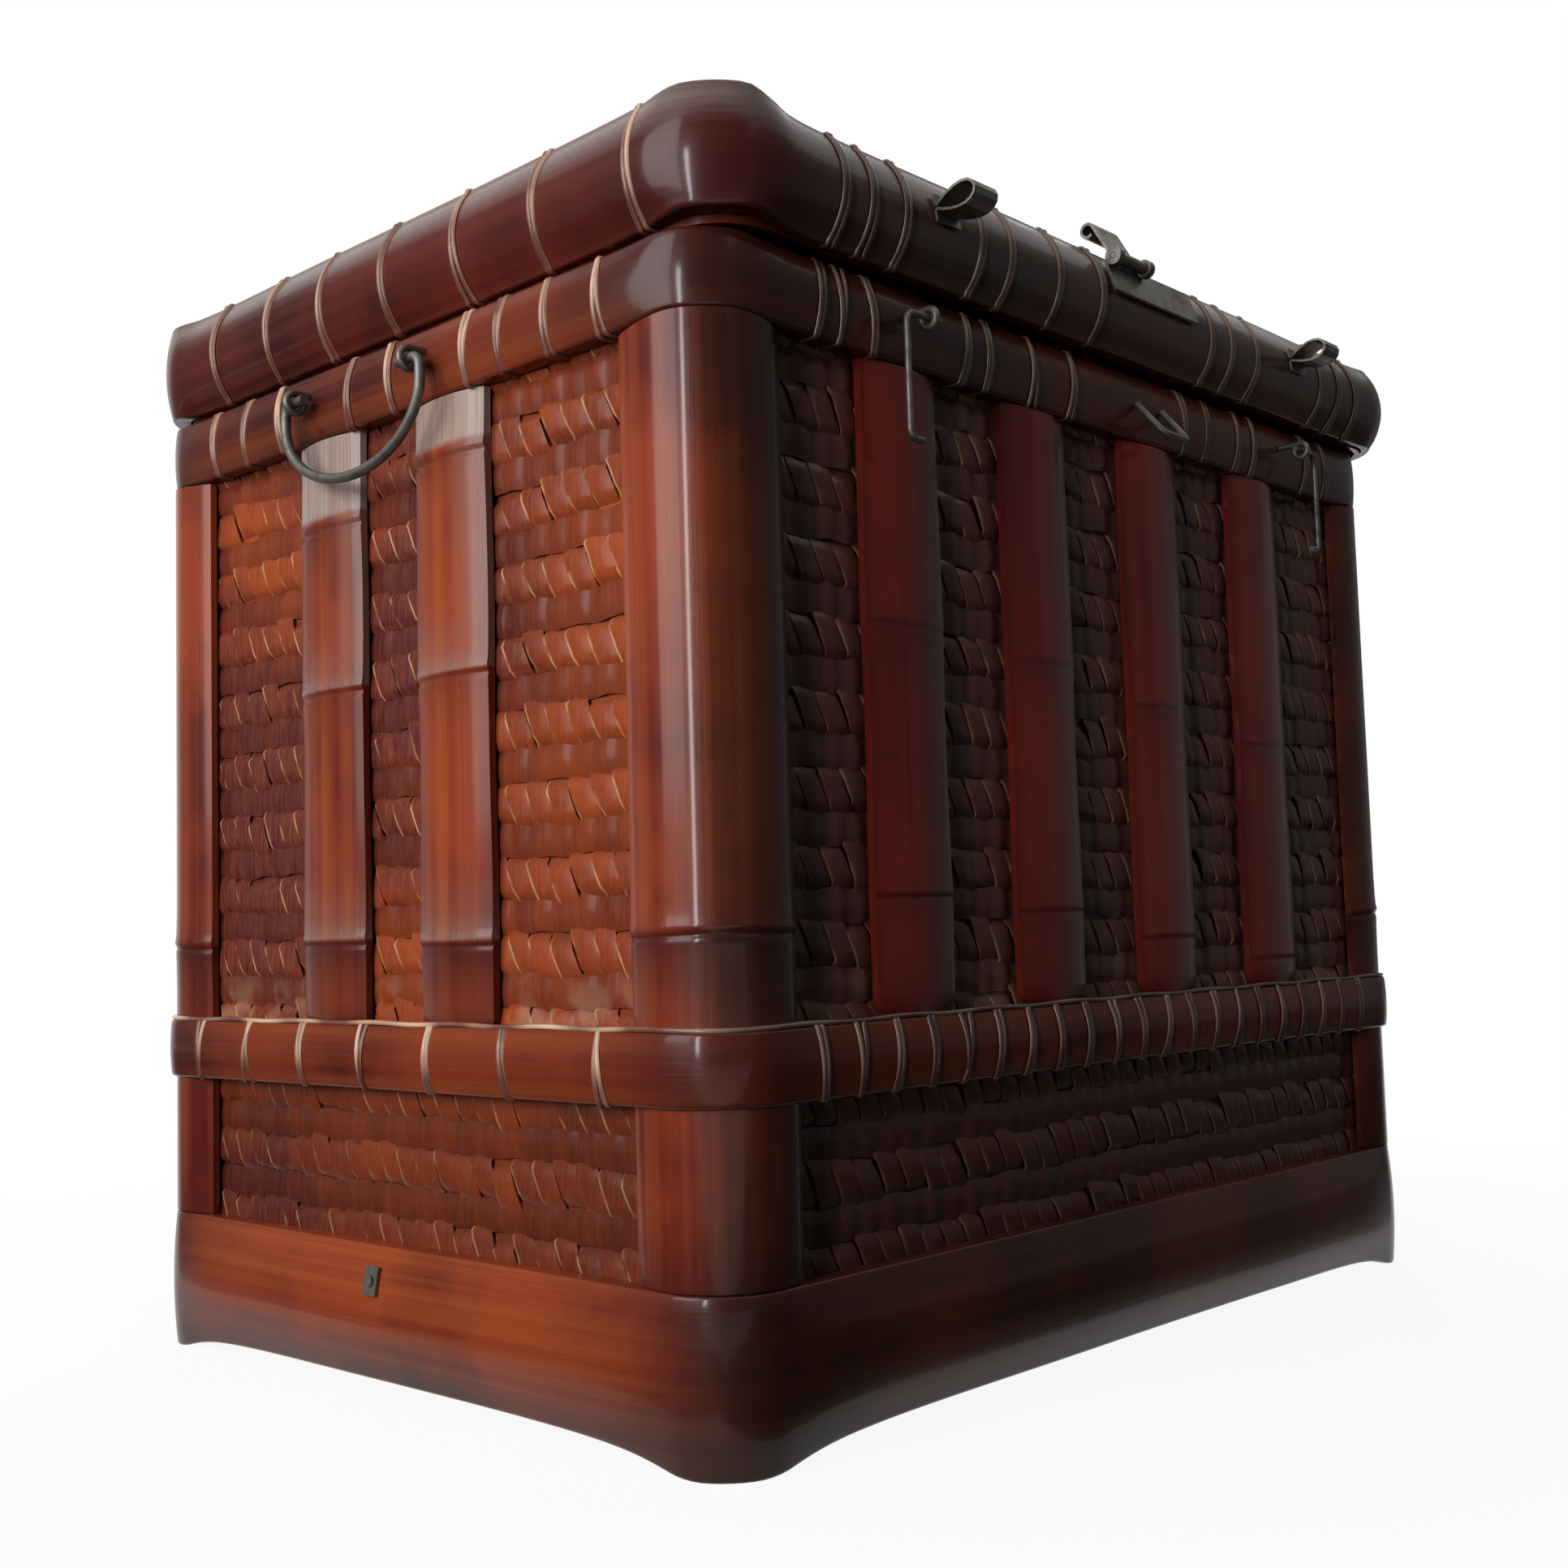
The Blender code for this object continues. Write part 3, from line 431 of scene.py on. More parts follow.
def culm_section(bottom, top, edge, crown, back):
    """A bent culm's section, out from the wall and up: flat behind, rounded in front, with soft lips."""
    radius = culm_radius(bottom, top, edge, crown)
    half = math.asin((top - bottom - 2 * LIP) / 2 / radius)
    middle = (bottom + top) / 2
    turns = np.linspace(-half, half, FACE_STEPS + 1)
    face = [(crown - radius + radius * math.cos(t), middle + radius * math.sin(t)) for t in turns]
    soft = [math.pi / 2 * step / LIP_STEPS for step in range(LIP_STEPS)]
    under = [(edge - LIP + LIP * math.sin(t), bottom + LIP - LIP * math.cos(t)) for t in soft]
    over = [(edge - LIP + LIP * math.sin(t), top - LIP + LIP * math.cos(t)) for t in reversed(soft)]
    return np.array([(back, bottom), *under, *face, *over, (back, top)])


def band_places(band, along, step, back):
    """Points of a band's section at places along the wall."""
    side = culm_section(*band["side"], back)[step]
    bend = culm_section(*band["bend"], back)[step]
    share = bend_share(along, band["spread"], band.get("corners", ALL_CORNERS))
    section = side + (bend - side) * share[:, None]
    bottom, top = band["side"][:2]
    left = np.abs(np.mod(along, ROUND) - LEFT_MIDDLE) < SIDE_Y + BEND / 2
    section[:, 1] += band.get("left_lift", 0) * left * (1 - share) * (side[:, 1] - bottom) / (top - bottom)
    return section


def bent_band(name, band, middle, back):
    """A half culm bent round the box."""
    piece = lay_grid(name, ROUND_STEPS, SECTION_STEPS)
    flat = spots(piece)
    along = (flat[:, 0] + 0.5) * ROUND
    step = step_of(flat[:, 1], SECTION_STEPS) % SECTION_STEPS
    section = band_places(band, along, step, back)
    wander = BAND_WANDER * ripple(along, BAND_WANDERS, 400 * band["spread"])
    outside = section[:, 0] > back + 1e-6
    mark(piece, "scorch_and_shade", 0.75 * bend_share(along, SCORCH_SPREAD))
    move_to(piece, round_plan(along, section[:, 0] + np.where(outside, wander, 0), middle), section[:, 1])
    close_up(piece, BAND_SHARP)
    return piece


def lacquered_bamboo(name, grain, dark, body, light, roughness):
    """Bamboo under thick brown lacquer: streaks along the fibre, patches burnt darker, and a wet gloss.
    Painted shade and a pale grey painted sheen lie where its pieces mark them.
    """
    made, tree, shader, place = start_finish(
        name, Specular_IOR_Level=0.12, Coat_Weight=0.25, Coat_Roughness=0.12)
    spread = add(tree, "Mapping", {"Vector": place, "Scale": grain})
    fibre = add(tree, "TexNoise", {"Vector": spread, "Scale": 1, "Detail": 6, "Roughness": 0.7})
    long = add(tree, "Mapping", {"Vector": place, "Scale": [v / 7 for v in grain]})
    wide = add(tree, "TexNoise", {"Vector": long, "Scale": 1, "Detail": 3})
    patch = add(tree, "TexNoise", {"Vector": place, "Scale": 8, "Detail": 4, "Roughness": 0.6})
    burnt = add(tree, "MapRange", {"Value": patch, "From Min": 0.40, "From Max": 0.58})
    stripe = add(tree, "MapRange", {"Value": wide, "From Min": 0.42, "From Max": 0.68, "To Max": 0.65})
    lines = add(tree, "MapRange", {"Value": fibre, "From Min": 0.52, "From Max": 0.72, "To Max": 0.45})
    scorch_and_shade, painted_shade, painted_sheen = (
        add(tree, "Attribute", attribute_name=name).outputs["Fac"] for name in ("scorch_and_shade", "painted_shade", "painted_sheen"))
    # The painted shade is lighter in patches.
    shade_patches = add(tree, "MapRange",
                {"Value": patch, "From Min": 0.3, "From Max": 0.6, "To Min": 1.0, "To Max": 0.6})
    shade_share = add(tree, "Math", {0: painted_shade, 1: shade_patches}, operation="MULTIPLY")
    # A pale grey painted sheen, streaked along the fibre.
    sheen_streaks = add(tree, "MapRange", {"Value": fibre, "From Min": 0.1, "From Max": 0.6})
    sheen_share = add(tree, "Math", {0: painted_sheen, 1: sheen_streaks}, operation="MULTIPLY")
    colour = add(tree, "Mix", {0: burnt, 6: linear(dark), 7: linear(body)}, data_type="RGBA")
    for share, code in (
        (stripe, light), (lines, dark), (scorch_and_shade, "#3E1414"), (shade_share, "#1E1611"), (sheen_share, "#A59C94"),
    ):
        colour = add(tree, "Mix", {0: share, 6: colour, 7: linear(code)}, data_type="RGBA")
    vary_finish(tree, shader, colour, (wide, roughness - 0.08, roughness + 0.10), (fibre, 0.22, 0.0005))
    return made


# Fibres run level along a band. They are drawn 1.1 mm apart, coarser than real ones, to show as fine streaks.
# The plinth's lacquer is thin enough to glow orange, the waist's and the rim's is darker, and the lid's is
# the darkest.
LEVEL_GRAIN = (9, 9, 900)
plinth_finish = lacquered_bamboo("lacquered_plinth_culm", LEVEL_GRAIN, "#581812", "#8C371A", "#A8542A", 0.30)
band_finish = lacquered_bamboo("lacquered_bent_culm", LEVEL_GRAIN, "#4A1614", "#7C301A", "#8E431E", 0.30)
lid_finish = lacquered_bamboo("lacquered_lid_culm", LEVEL_GRAIN, "#361210", "#5C2018", "#6C301E", 0.30)
for name, band, middle, back, body, material in (
    ("plinth_culm", PLINTH, CHEST, GAP, "chest", plinth_finish),
    ("waist_culm", WAIST, CHEST, GAP, "chest", band_finish),
    ("rim_culm", RIM, CHEST, GAP, "chest", band_finish),
    ("lid_culm", LID, LID_MIDDLE, LID_BACK, "lid", lid_finish),
):
    culm = bent_band(name, band, middle, back)
    x, y, z = spots(culm).T
    rise = (z - band["side"][0]) / (band["side"][1] - band["side"][0])
    front = np.clip((middle.y - SIDE_Y - y) / CORNER, 0, 1)
    if name == "plinth_culm":
        # Painted shade: darker from half way down to the bottom edge, where the face turns down, and over all
        # the front.
        mark(culm, "painted_shade", np.clip(1.1 - 2.2 * rise, 0.8 * front, 0.95))
    if name == "rim_culm":
        # Painted shade darkens the rim all round below the lid, and most on the front.
        mark(culm, "painted_shade", np.maximum(0.6 * front, 0.30))
    if name == "lid_culm":
        # A pale grey painted sheen lies along the top, and a little on the straight run of the front.
        straight = 1 - bend_share((x - middle.x + SIDE_X) * front, SCORCH_SPREAD)
        mark(culm, "painted_sheen", np.clip(1.6 * rise - 1.2, 0.20 * front * straight, 0.32))
    settle(culm, material, body, "bent_bamboo", name.replace("culm", "band"))

# The collar is a thin strip of bamboo, bent to a hoop and fixed inside the rim, so that the lid fits over it.
# It is lacquered as dark as the lid, and so the joint below the lid is dark.
paint(lid_finish, "inner_collar")

# A wide piece of split culm is wrapped round each corner, from the plinth up to the rim and behind the waist.
# Its node is a ring where a partition grew across the culm: a low ridge with a groove below it.
POST_THICKNESS = 0.0066
POST_EDGE = 0.0030
POST_TAILS = {"end": 0.018, "front": 0.014}
POST_NODES = (0.177,)
POST_STEPS = 40
# A node's swelling, ridge and groove: the height of each, half its width, and its place above the node.
NODE_FORMS = ((0.0004, 0.009, 0), (0.0004, 0.0016, 0.0012), (-0.0006, 0.0009, -0.0016))
PLAIN_SECTIONS = 18
NODE_SECTIONS = np.linspace(-0.008, 0.008, 17)
END_SECTIONS = np.linspace(0, 0.009, 8)
# Heat has a share that it darkens, and how far up or down that reaches.
FOOT_HEAT = (0.75, 0.018)
NODE_HEAT = (0.55, 0.012)
OVER_NODE_HEAT = (0.4, 0.003)
POST_HEAT = (0.9, 0.030)


def ring(rise):
    """How far a culm stands out near one of its nodes."""
    return sum(height * np.exp(-(((rise - above) / half) ** 2)) for height, half, above in NODE_FORMS)


def scorched(height, bottom, nodes, lowest=NODE_HEAT):
    """How dark heat has left a culm: most at its foot and under its nodes, of which the lowest may differ."""
    dark = FOOT_HEAT[0] * np.exp(-(height - bottom) / FOOT_HEAT[1])
    for node in nodes:
        below = node - height
        most, run = lowest if node == nodes[0] else NODE_HEAT
        over = OVER_NODE_HEAT[0] * np.exp(below / OVER_NODE_HEAT[1])
        dark = np.maximum(dark, np.where(below > 0, most * np.exp(-below / run), over))
    return dark


def levels(bottom, top, nodes):
    """Heights of a culm's cross sections, closer together near its nodes and its ends."""
    near = [node + rise for node in nodes for rise in NODE_SECTIONS]
    ends = [end for rise in END_SECTIONS for end in (bottom + rise, top - rise)]
    every = np.unique(np.round([*np.linspace(bottom, top, PLAIN_SECTIONS), *near, *ends], 5))
    return every[(every >= bottom - 1e-6) & (every <= top + 1e-6)]


def lay_culm(name, steps, heights):
    """A sheet to wrap as a culm's face and back, with each point's share across it and its height."""
    turns = 2 * steps + 2
    piece = lay_grid(name, turns, len(heights) - 1)
    flat = spots(piece)
    turn = step_of(flat[:, 0], turns) % turns
    outer = turn <= steps
    share = np.where(outer, turn, turns - 1 - turn) / steps
    return piece, outer, share, heights[step_of(flat[:, 1], len(heights) - 1)]


# The posts' lacquer is the glossiest, red-brown with upright streaks, drawn 1.1 mm apart to show.
UPRIGHT_GRAIN = (900, 900, 7)
post_finish = lacquered_bamboo("lacquered_corner_culm", UPRIGHT_GRAIN, "#5A1C17", "#8C381E", "#9E4C26", 0.26)
bottom, top = PLINTH["side"][1] + GAP, RIM["side"][0] - GAP
for quarter, (name, before, after) in enumerate((
    ("front_right_post", "front", "end"), ("back_right_post", "end", "front"),
    ("back_left_post", "front", "end"), ("front_left_post", "end", "front"),
)):
    post, outer, share, height = lay_culm(
        name.replace("post", "culm"), POST_STEPS, levels(bottom, top, POST_NODES))
    reach = (POST_TAILS[before] + BEND / 2, POST_TAILS[after] + BEND / 2)
    past = -reach[0] + share * sum(reach)
    tail = np.where(past < 0, (reach[0] + past) / POST_TAILS[before], (reach[1] - past) / POST_TAILS[after])
    thick = POST_EDGE + (POST_THICKNESS - POST_EDGE) * (1 - (1 - np.clip(tail, 0, 1)) ** 2)
    rings = sum(ring(height - node) for node in POST_NODES)
    along = corner_middle(quarter) + past
    places = round_plan(along, np.where(outer, GAP + thick + rings, GAP))
    lift = (RIM["bend"][0] - RIM["side"][0]) * bend_share(along, RIM["spread"])
    mark(post, "scorch_and_shade", scorched(height, bottom, POST_NODES, POST_HEAT))
    # Painted shade on the part of the post that turns to the front.
    mark(post, "painted_shade", 0.85 * np.clip((CHEST.y - SIDE_Y - places[:, 1]) / CORNER, 0, 1) ** 3)
    move_to(post, places, height + lift * (height - bottom) / (top - bottom))
    close_up(post)
    settle(post, post_finish, "chest", "split_bamboo", name)

# Flat slats split from wide culms stand between the waist and the rim, with two or three nodes each. Their
# lower ends on the front and the back are cut round. On the left end a pale grey painted sheen lies on them:
# most in the top stretch, some on the front half above the middle node, and less above the other nodes.
SLAT_HALF = 0.022
SLAT_STEPS = 20
SLAT_EDGE = 0.0030
SLAT_THICKNESS = 0.0062
SLAT_WAVER = 0.00035
ROUND_CUT = 0.008
SQUARE_CUT = 0.002
# Nodes are planed down to this share, but not on the slats of the ends.
NODE_PLANED = 0.45
FRONT_SLATS = (-0.141, -0.0545, 0.0325, 0.124)
END_SLATS = (-0.0405, 0.0415)
END_HEAT = (0.85, 0.040)
LOW_NODE = 0.172
NODES_APART = 0.1
NODE_VARIES = 0.017
TOP_SHEEN = 0.85
EDGE_SHEEN = 0.25
NODE_SHEEN = (0.40, 0.008)
SEEN_NODES = {"left_slat_1": (0.176, 0.278, 0.363), "left_slat_2": (0.1775, 0.280, 0.349)}
FRONT_MIDDLE = SIDE_X
RIGHT_MIDDLE = 2 * SIDE_X + SIDE_Y + BEND
BACK_MIDDLE = 3 * SIDE_X + 2 * SIDE_Y + 2 * BEND


def slat_sheet(name, low, high, nodes, edge, thickness, cut):
    """A slat as points across, along and over its back, with its lower end cut round by a radius."""
    piece, outer, share, length = lay_culm(name, SLAT_STEPS, levels(low, high, nodes))
    side = share * 2 - 1
    end = np.clip(cut - (length - low), 0, cut)
    waver = SLAT_WAVER * np.sin(length * 55 + 20 * nodes[0])
    across = side * (SLAT_HALF - cut + np.sqrt(np.maximum(cut**2 - end**2, 0))) + waver * side
    rings = sum(ring(length - node) for node in nodes) * (1.0 if cut == SQUARE_CUT else NODE_PLANED)
    over = np.where(outer, edge + (thickness - edge) * (1 - side**2) + rings, 0)
    return piece, across, length, over


def painted_slat_sheen(across, length, nodes):
    """How much pale grey painted sheen lies on a slat of the left end."""
    painted_sheen = TOP_SHEEN * np.clip((length - nodes[-1] - 0.002) / 0.003, 0, 1)
    painted_sheen = np.maximum(painted_sheen, EDGE_SHEEN * np.clip(across / SLAT_HALF, 0, 1) * (length > nodes[1]))
    for node in nodes[:-1]:
        fading = NODE_SHEEN[0] * np.exp(-(length - node) / NODE_SHEEN[1])
        painted_sheen = np.maximum(painted_sheen, np.where(length > node, fading, 0))
    return painted_sheen


# The slats on the ends and the back are orange-brown under their lacquer, and those on the front dark red.
slat_finish = lacquered_bamboo("lacquered_slat", UPRIGHT_GRAIN, "#6A2218", "#8E381D", "#A24E20", 0.28)
red_slat_finish = lacquered_bamboo("red_lacquered_slat", UPRIGHT_GRAIN, "#7C2020", "#A03024", "#A8402C", 0.28)
low, high = WAIST["side"][1] + GAP, RIM["side"][0] - GAP
for face, places, middle, way, seed, cut in (
    ("front", FRONT_SLATS, FRONT_MIDDLE, 1, 1, ROUND_CUT),
    ("back", FRONT_SLATS, BACK_MIDDLE, -1, 2, ROUND_CUT),
    ("left", END_SLATS, LEFT_MIDDLE, -1, 0, SQUARE_CUT),
    ("right", END_SLATS, RIGHT_MIDDLE, 1, 3, SQUARE_CUT),
):
    for number, spot in enumerate(places, 1):
        name = f"{face}_slat_{number}"
        along = middle + way * spot
        nodes = tuple(LOW_NODE + NODES_APART * n + NODE_VARIES * math.sin(9 * along + seed) for n in range(2))
        nodes = SEEN_NODES.get(name, nodes)
        slat, across, length, over = slat_sheet(
            f"{face}_strip_{number}", low, high, nodes, SLAT_EDGE, SLAT_THICKNESS, cut)
        heat = scorched(length, low, nodes, END_HEAT if cut == SQUARE_CUT else NODE_HEAT)
        mark(slat, "painted_sheen", painted_slat_sheen(across, length, nodes) if name in SEEN_NODES else 0 * length)
        # Heat darkens the foot and below the nodes, and painted shade darkens both edges where the face turns
        # away.
        mark(slat, "scorch_and_shade", np.maximum(heat, 0.6 * np.abs(across / SLAT_HALF) ** 4))
        move_to(slat, round_plan(along + across, GAP + over), length)
        close_up(slat)
        settle(slat, red_slat_finish if face == "front" else slat_finish, "chest", "split_bamboo", name)

# The lid is a woven tray inside its band. Its top is a mat of the same strips as the wall, and a plain wall
# of bent bamboo, lacquered dark, hangs below the mat's edge and fits over the collar.
LID_LOW, LID_HIGH = (Vector(corner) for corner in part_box("woven_lid"))
LID_WALL = 0.0030
MAT_TOP = LID_HIGH.z - 0.0002
MAT_INSET = 0.0006
MAT_CORNER = 0.0245
MAT_STRIP = 0.012
MAT_FACES = 112
MAT_RELIEF = {"sunk": 0.0034, "rise": 0.0026, "crown": 0.0005, "tilt": 0.0003}
MAT_OUTER_FACE = -0.0006
MAT_OUTER_CROWN = 0.0008
MAT_INNER_FACE = -0.0028
MAT_CROSS_FACES = 60
TRAY_STEPS = 240
TRAY_TOP = MAT_TOP - 0.0042
mat_x = (LID_HIGH.x - LID_LOW.x) / 2 - MAT_INSET
mat_y = (LID_HIGH.y - LID_LOW.y) / 2 - MAT_INSET


def within_corner(x, y):
    """Draws points beyond the lid's round corners in to them."""
    past_x = np.maximum(np.abs(x) - (mat_x - MAT_CORNER), 0)
    past_y = np.maximum(np.abs(y) - (mat_y - MAT_CORNER), 0)
    far = np.maximum(np.hypot(past_x, past_y) / MAT_CORNER, 1)
    return x - np.sign(x) * past_x * (1 - 1 / far), y - np.sign(y) * past_y * (1 - 1 / far)


def finish_mat(piece, x, y, over, *nodes):
    """Brings strips to their places on the lid, and gives them their thickness and finish."""
    x, y = within_corner(x, y)
    move_to(piece, x + LID_MIDDLE.x, y + LID_MIDDLE.y, MAT_TOP + over)
    thicken(piece)
    smooth(STRIP_SHARP)
    settle(piece, weave_finish, "lid", "woven_bamboo", *nodes)


count = int(2 * mat_x / MAT_STRIP)
pitch = 2 * mat_x / count
mat, flat, number = lay_row("lid_mat_strips", STRIP_FACES, MAT_FACES, count, 0)
across = 2 * flat[:, 0]
y = 2 * mat_y * flat[:, 1]
over, lean = plaited(mat, across, (y + mat_y) / ROW, number, **MAT_RELIEF)
x = -mat_x + (number + 0.5) * pitch + across * (pitch - STRIP_GAP) / 2 + STRIP_LEAN * lean
finish_mat(mat, np.clip(x, -mat_x, mat_x), y, over, "woven_lid")

count = 2 * int(2 * mat_y / ROW) + 1
cross, flat, number = lay_row("lid_cross_strips", MAT_CROSS_FACES, STRIP_FACES, count, 1)
across = 2 * flat[:, 1]
inner = 1 - number % 2
level = -mat_y + ROW * (number // 2 + np.where(inner, OVER / 2, (1 + OVER) / 2))
mark(cross, "tone", rng.random(count)[number])
# How much painted shade the mat's strips take: the cross strips in front more at their edges.
mark(cross, "raised", np.where(inner, 1.0, 0.45 - 0.3 * across**2))
over = np.where(inner, MAT_INNER_FACE, MAT_OUTER_FACE - MAT_OUTER_CROWN * across**2)
y = level + across * np.where(inner, INNER_WIDTH, OUTER_WIDTH) / 2
finish_mat(cross, 2 * mat_x * flat[:, 0], y, over)

wall = lay_grid("lid_tray_wall", TRAY_STEPS, 4)
flat = spots(wall)
step = step_of(flat[:, 1], 4) % 4
out = np.where((step == 0) | (step == 3), TRAY_FACE - LID_WALL, TRAY_FACE - GAP)
height = np.where(step < 2, LID_LOW.z, TRAY_TOP)
move_to(wall, round_plan((flat[:, 0] + 0.5) * ROUND, out, LID_MIDDLE), height)
close_up(wall)
settle(wall, lid_finish, "lid", "plain_bamboo")

# Four thin slats lie over the lid's mat from front to back, in line with the front's. They are split from the
# same culms and reach from band to band.
LID_SLAT_EDGE = 0.0022
LID_SLAT_THICKNESS = 0.0036
LID_SLAT_CUT = 0.004
# They have the finish of the other slats, orange-brown, with streaks that run from front to back.
lid_slat_finish = lacquered_bamboo("lacquered_lid_slat", (900, 7, 900), "#6A2218", "#8E381D", "#A24E20", 0.28)
reach = (LID_HIGH.y - LID_LOW.y) / 2 - 2 * GAP
for number, x in enumerate(FRONT_SLATS, 1):
    nodes = (-0.09 + 0.02 * number, 0.11 - 0.014 * number)
    slat, across, length, over = slat_sheet(
        f"lid_strip_{number}", -reach, reach, nodes, LID_SLAT_EDGE, LID_SLAT_THICKNESS, LID_SLAT_CUT)
    mark(slat, "scorch_and_shade", scorched(length, -reach, nodes))
    move_to(slat, LID_MIDDLE.x + x + across, LID_MIDDLE.y + length, LID_HIGH.z + GAP + over)
    close_up(slat)
    settle(slat, lid_slat_finish, "lid", "split_bamboo", f"lid_slat_{number}")

# Pairs of rattan strands bind the lid's band, the rim's and the waist's at intervals, none of them at the
# corners. A strand is split rattan, half round and 2 mm wide, and its rind faces out.
STRAND_WIDTH = 0.0020
STRAND_THICKNESS = 0.0008
STRAND_OFF = 0.00105
STRAND_LIFT = 0.00015
STRAND_SKEW = 0.0006
STRAND_SHARP = 60
STRAND_SECTION = np.array([(-0.5, 0), (-0.38, 0.7), (0, 1), (0.38, 0.7), (0.5, 0), (0, -0.15)])
LID_ENDS = (0.124, 0.080, 0.039, -0.005, -0.052, -0.099, -0.150)
LID_FRONTS = (
    -0.192, -0.177, -0.158, -0.113, -0.094, -0.061, -0.030, 0.058, 0.076, 0.099, 0.162, 0.181, 0.199)
RIM_ENDS = (0.125, 0.099, 0.071, 0.019, -0.0095, -0.058, -0.079, -0.106, -0.134)
RIM_FRONTS = (
    -0.189, -0.178, -0.161, -0.105, -0.091, -0.061, -0.033, 0.055, 0.075, 0.103, 0.118, 0.169, 0.190)
WAIST_ENDS = (0.139, 0.100, 0.058, 0.015, -0.029, -0.075, -0.127)
WAIST_FRONTS = tuple(-0.200 + 0.0199 * n for n in range(21))


def rattan_strands(name, band, middle, ends, fronts, back):
    """All the strands of one band, modelled once and copied to their places."""
    at = [LEFT_MIDDLE - y for y in ends] + [RIGHT_MIDDLE + y for y in ends]
    at += [FRONT_MIDDLE + x for x in fronts] + [BACK_MIDDLE - x for x in fronts]
    at = np.array([along + side for along in at for side in (-STRAND_OFF, STRAND_OFF)])
    sides = len(STRAND_SECTION)
    steps = SECTION_STEPS - 1
    piece, flat, number = lay_row(name, sides, steps, len(at), 0)
    turn = step_of(flat[:, 0], sides) % sides
    step = step_of(flat[:, 1], steps)
    skew = rng.normal(0, STRAND_SKEW, len(at))
    along = at[number] + skew[number] * (step / steps - 0.5) * 4
    here, ahead, behind = (
        band_places(band, along, np.clip(step + on, 0, steps), back) for on in (0, 1, -1))
    run = ahead - behind
    normal = np.stack((run[:, 1], -run[:, 0]), 1) / np.hypot(run[:, 0], run[:, 1])[:, None]
    lift = STRAND_LIFT + STRAND_SECTION[turn, 1] * STRAND_THICKNESS
    section = here + normal * lift[:, None]
    mark(piece, "tone", rng.random(len(at))[number])
    # Paler towards the top of each strand: rubbed there, and a painted highlight as well.
    mark(piece, "rub_and_highlight", np.clip((step / steps - 0.25) / 0.35, 0.15, 1))
    places = round_plan(along + STRAND_SECTION[turn, 0] * STRAND_WIDTH, section[:, 0], middle)
    move_to(piece, places, section[:, 1])
    close_up(piece, STRAND_SHARP)
    return piece


# Split rattan under old lacquer: brown where the lacquer holds, pale where it is rubbed off, and paler
# towards the top of each strand, where a painted highlight lies. It has pale edges and a gloss along the
# rind. Its stains are about 17 mm long. The front's strands are darkened with painted shade.
STRAND_SHADE = (WALL_LOW.y, WALL_LOW.y + 0.020)
rattan_finish, tree, shader, place = start_finish(
    "split_rattan", Specular_IOR_Level=0.4, Coat_Weight=0.3, Coat_Roughness=0.15)
tone, rub_and_highlight = (add(tree, "Attribute", attribute_name=name).outputs["Fac"] for name in ("tone", "rub_and_highlight"))
stain = add(tree, "TexNoise", {"Vector": place, "Scale": 60, "Detail": 4})
mixed = add(tree, "Math", {0: stain, 1: tone}, operation="ADD")
spread = add(tree, "MapRange", {"Value": mixed, "From Min": 0.7, "From Max": 1.3, "To Max": 0.9})
worn_and_lit = add(tree, "Math", {0: spread, 1: rub_and_highlight}, operation="MULTIPLY")
rind = add(tree, "Mix", {0: worn_and_lit, 6: linear("#5E291E"), 7: linear("#D6AE90")}, data_type="RGBA")
sides = add(tree, "SeparateXYZ", {0: add(tree, "TexCoord").outputs["UV"]})
near = add(tree, "Math", {0: sides.outputs[0], 1: 1 / 3}, operation="SUBTRACT")
away = add(tree, "Math", {0: near}, operation="ABSOLUTE")
edge = add(tree, "MapRange", {"Value": away, "From Min": 0.17, "From Max": 0.27})
chips = add(tree, "Math", {0: edge, 1: stain}, operation="MULTIPLY")
rubbed = add(tree, "Math", {0: chips, 1: rub_and_highlight}, operation="MULTIPLY")
pale = add(tree, "Mix", {0: rubbed, 6: rind, 7: linear("#E2C0A2")}, data_type="RGBA")
depth = add(tree, "SeparateXYZ", {0: place})
# Painted shade: the front's strands are darker.
front = add(tree, "MapRange", {"Value": depth.outputs[1], "From Min": STRAND_SHADE[0],
                               "From Max": STRAND_SHADE[1], "To Min": 0.7, "To Max": 0.0})
colour = add(tree, "Mix", {0: front, 6: pale, 7: linear("#402A24")}, data_type="RGBA")
vary_finish(tree, shader, colour, (stain, 0.25, 0.5), (stain, 0.2, 0.0003))
for name, band, middle, ends, fronts, back, body in (
    ("lid_bindings", LID, LID_MIDDLE, LID_ENDS, LID_FRONTS, LID_BACK, "lid"),
    ("rim_bindings", RIM, CHEST, RIM_ENDS, RIM_FRONTS, GAP, "chest"),
    ("waist_bindings", WAIST, CHEST, WAIST_ENDS, WAIST_FRONTS, GAP, "chest"),
):
    settle(rattan_strands(name, band, middle, ends, fronts, back), rattan_finish, body, "plain_bamboo")

# One strand of rattan lies along the waist's top edge all round, to close its joint with the weave. It is
# whole rattan, pressed oval, and the bindings hold it down.
EDGE_SIDES = 8
EDGE_OVER = 0.0006
EDGE_WAVE = 0.0003
EDGE_OUT = 0.0072
EDGE_BEND_OUT = 0.0008
EDGE_HALF_WIDTH = 0.0012
EDGE_HALF_HEIGHT = 0.0010
edge_strand = lay_grid("waist_edge_strand", ROUND_STEPS, EDGE_SIDES)
flat = spots(edge_strand)
along = (flat[:, 0] + 0.5) * ROUND
turn = 2 * math.pi * step_of(flat[:, 1], EDGE_SIDES) / EDGE_SIDES
level = WAIST["side"][1] + EDGE_OVER + EDGE_WAVE * ripple(along, 31)
out = EDGE_OUT + EDGE_BEND_OUT * bend_share(along, WAIST["spread"])
places = round_plan(along, out + EDGE_HALF_WIDTH * np.cos(turn))
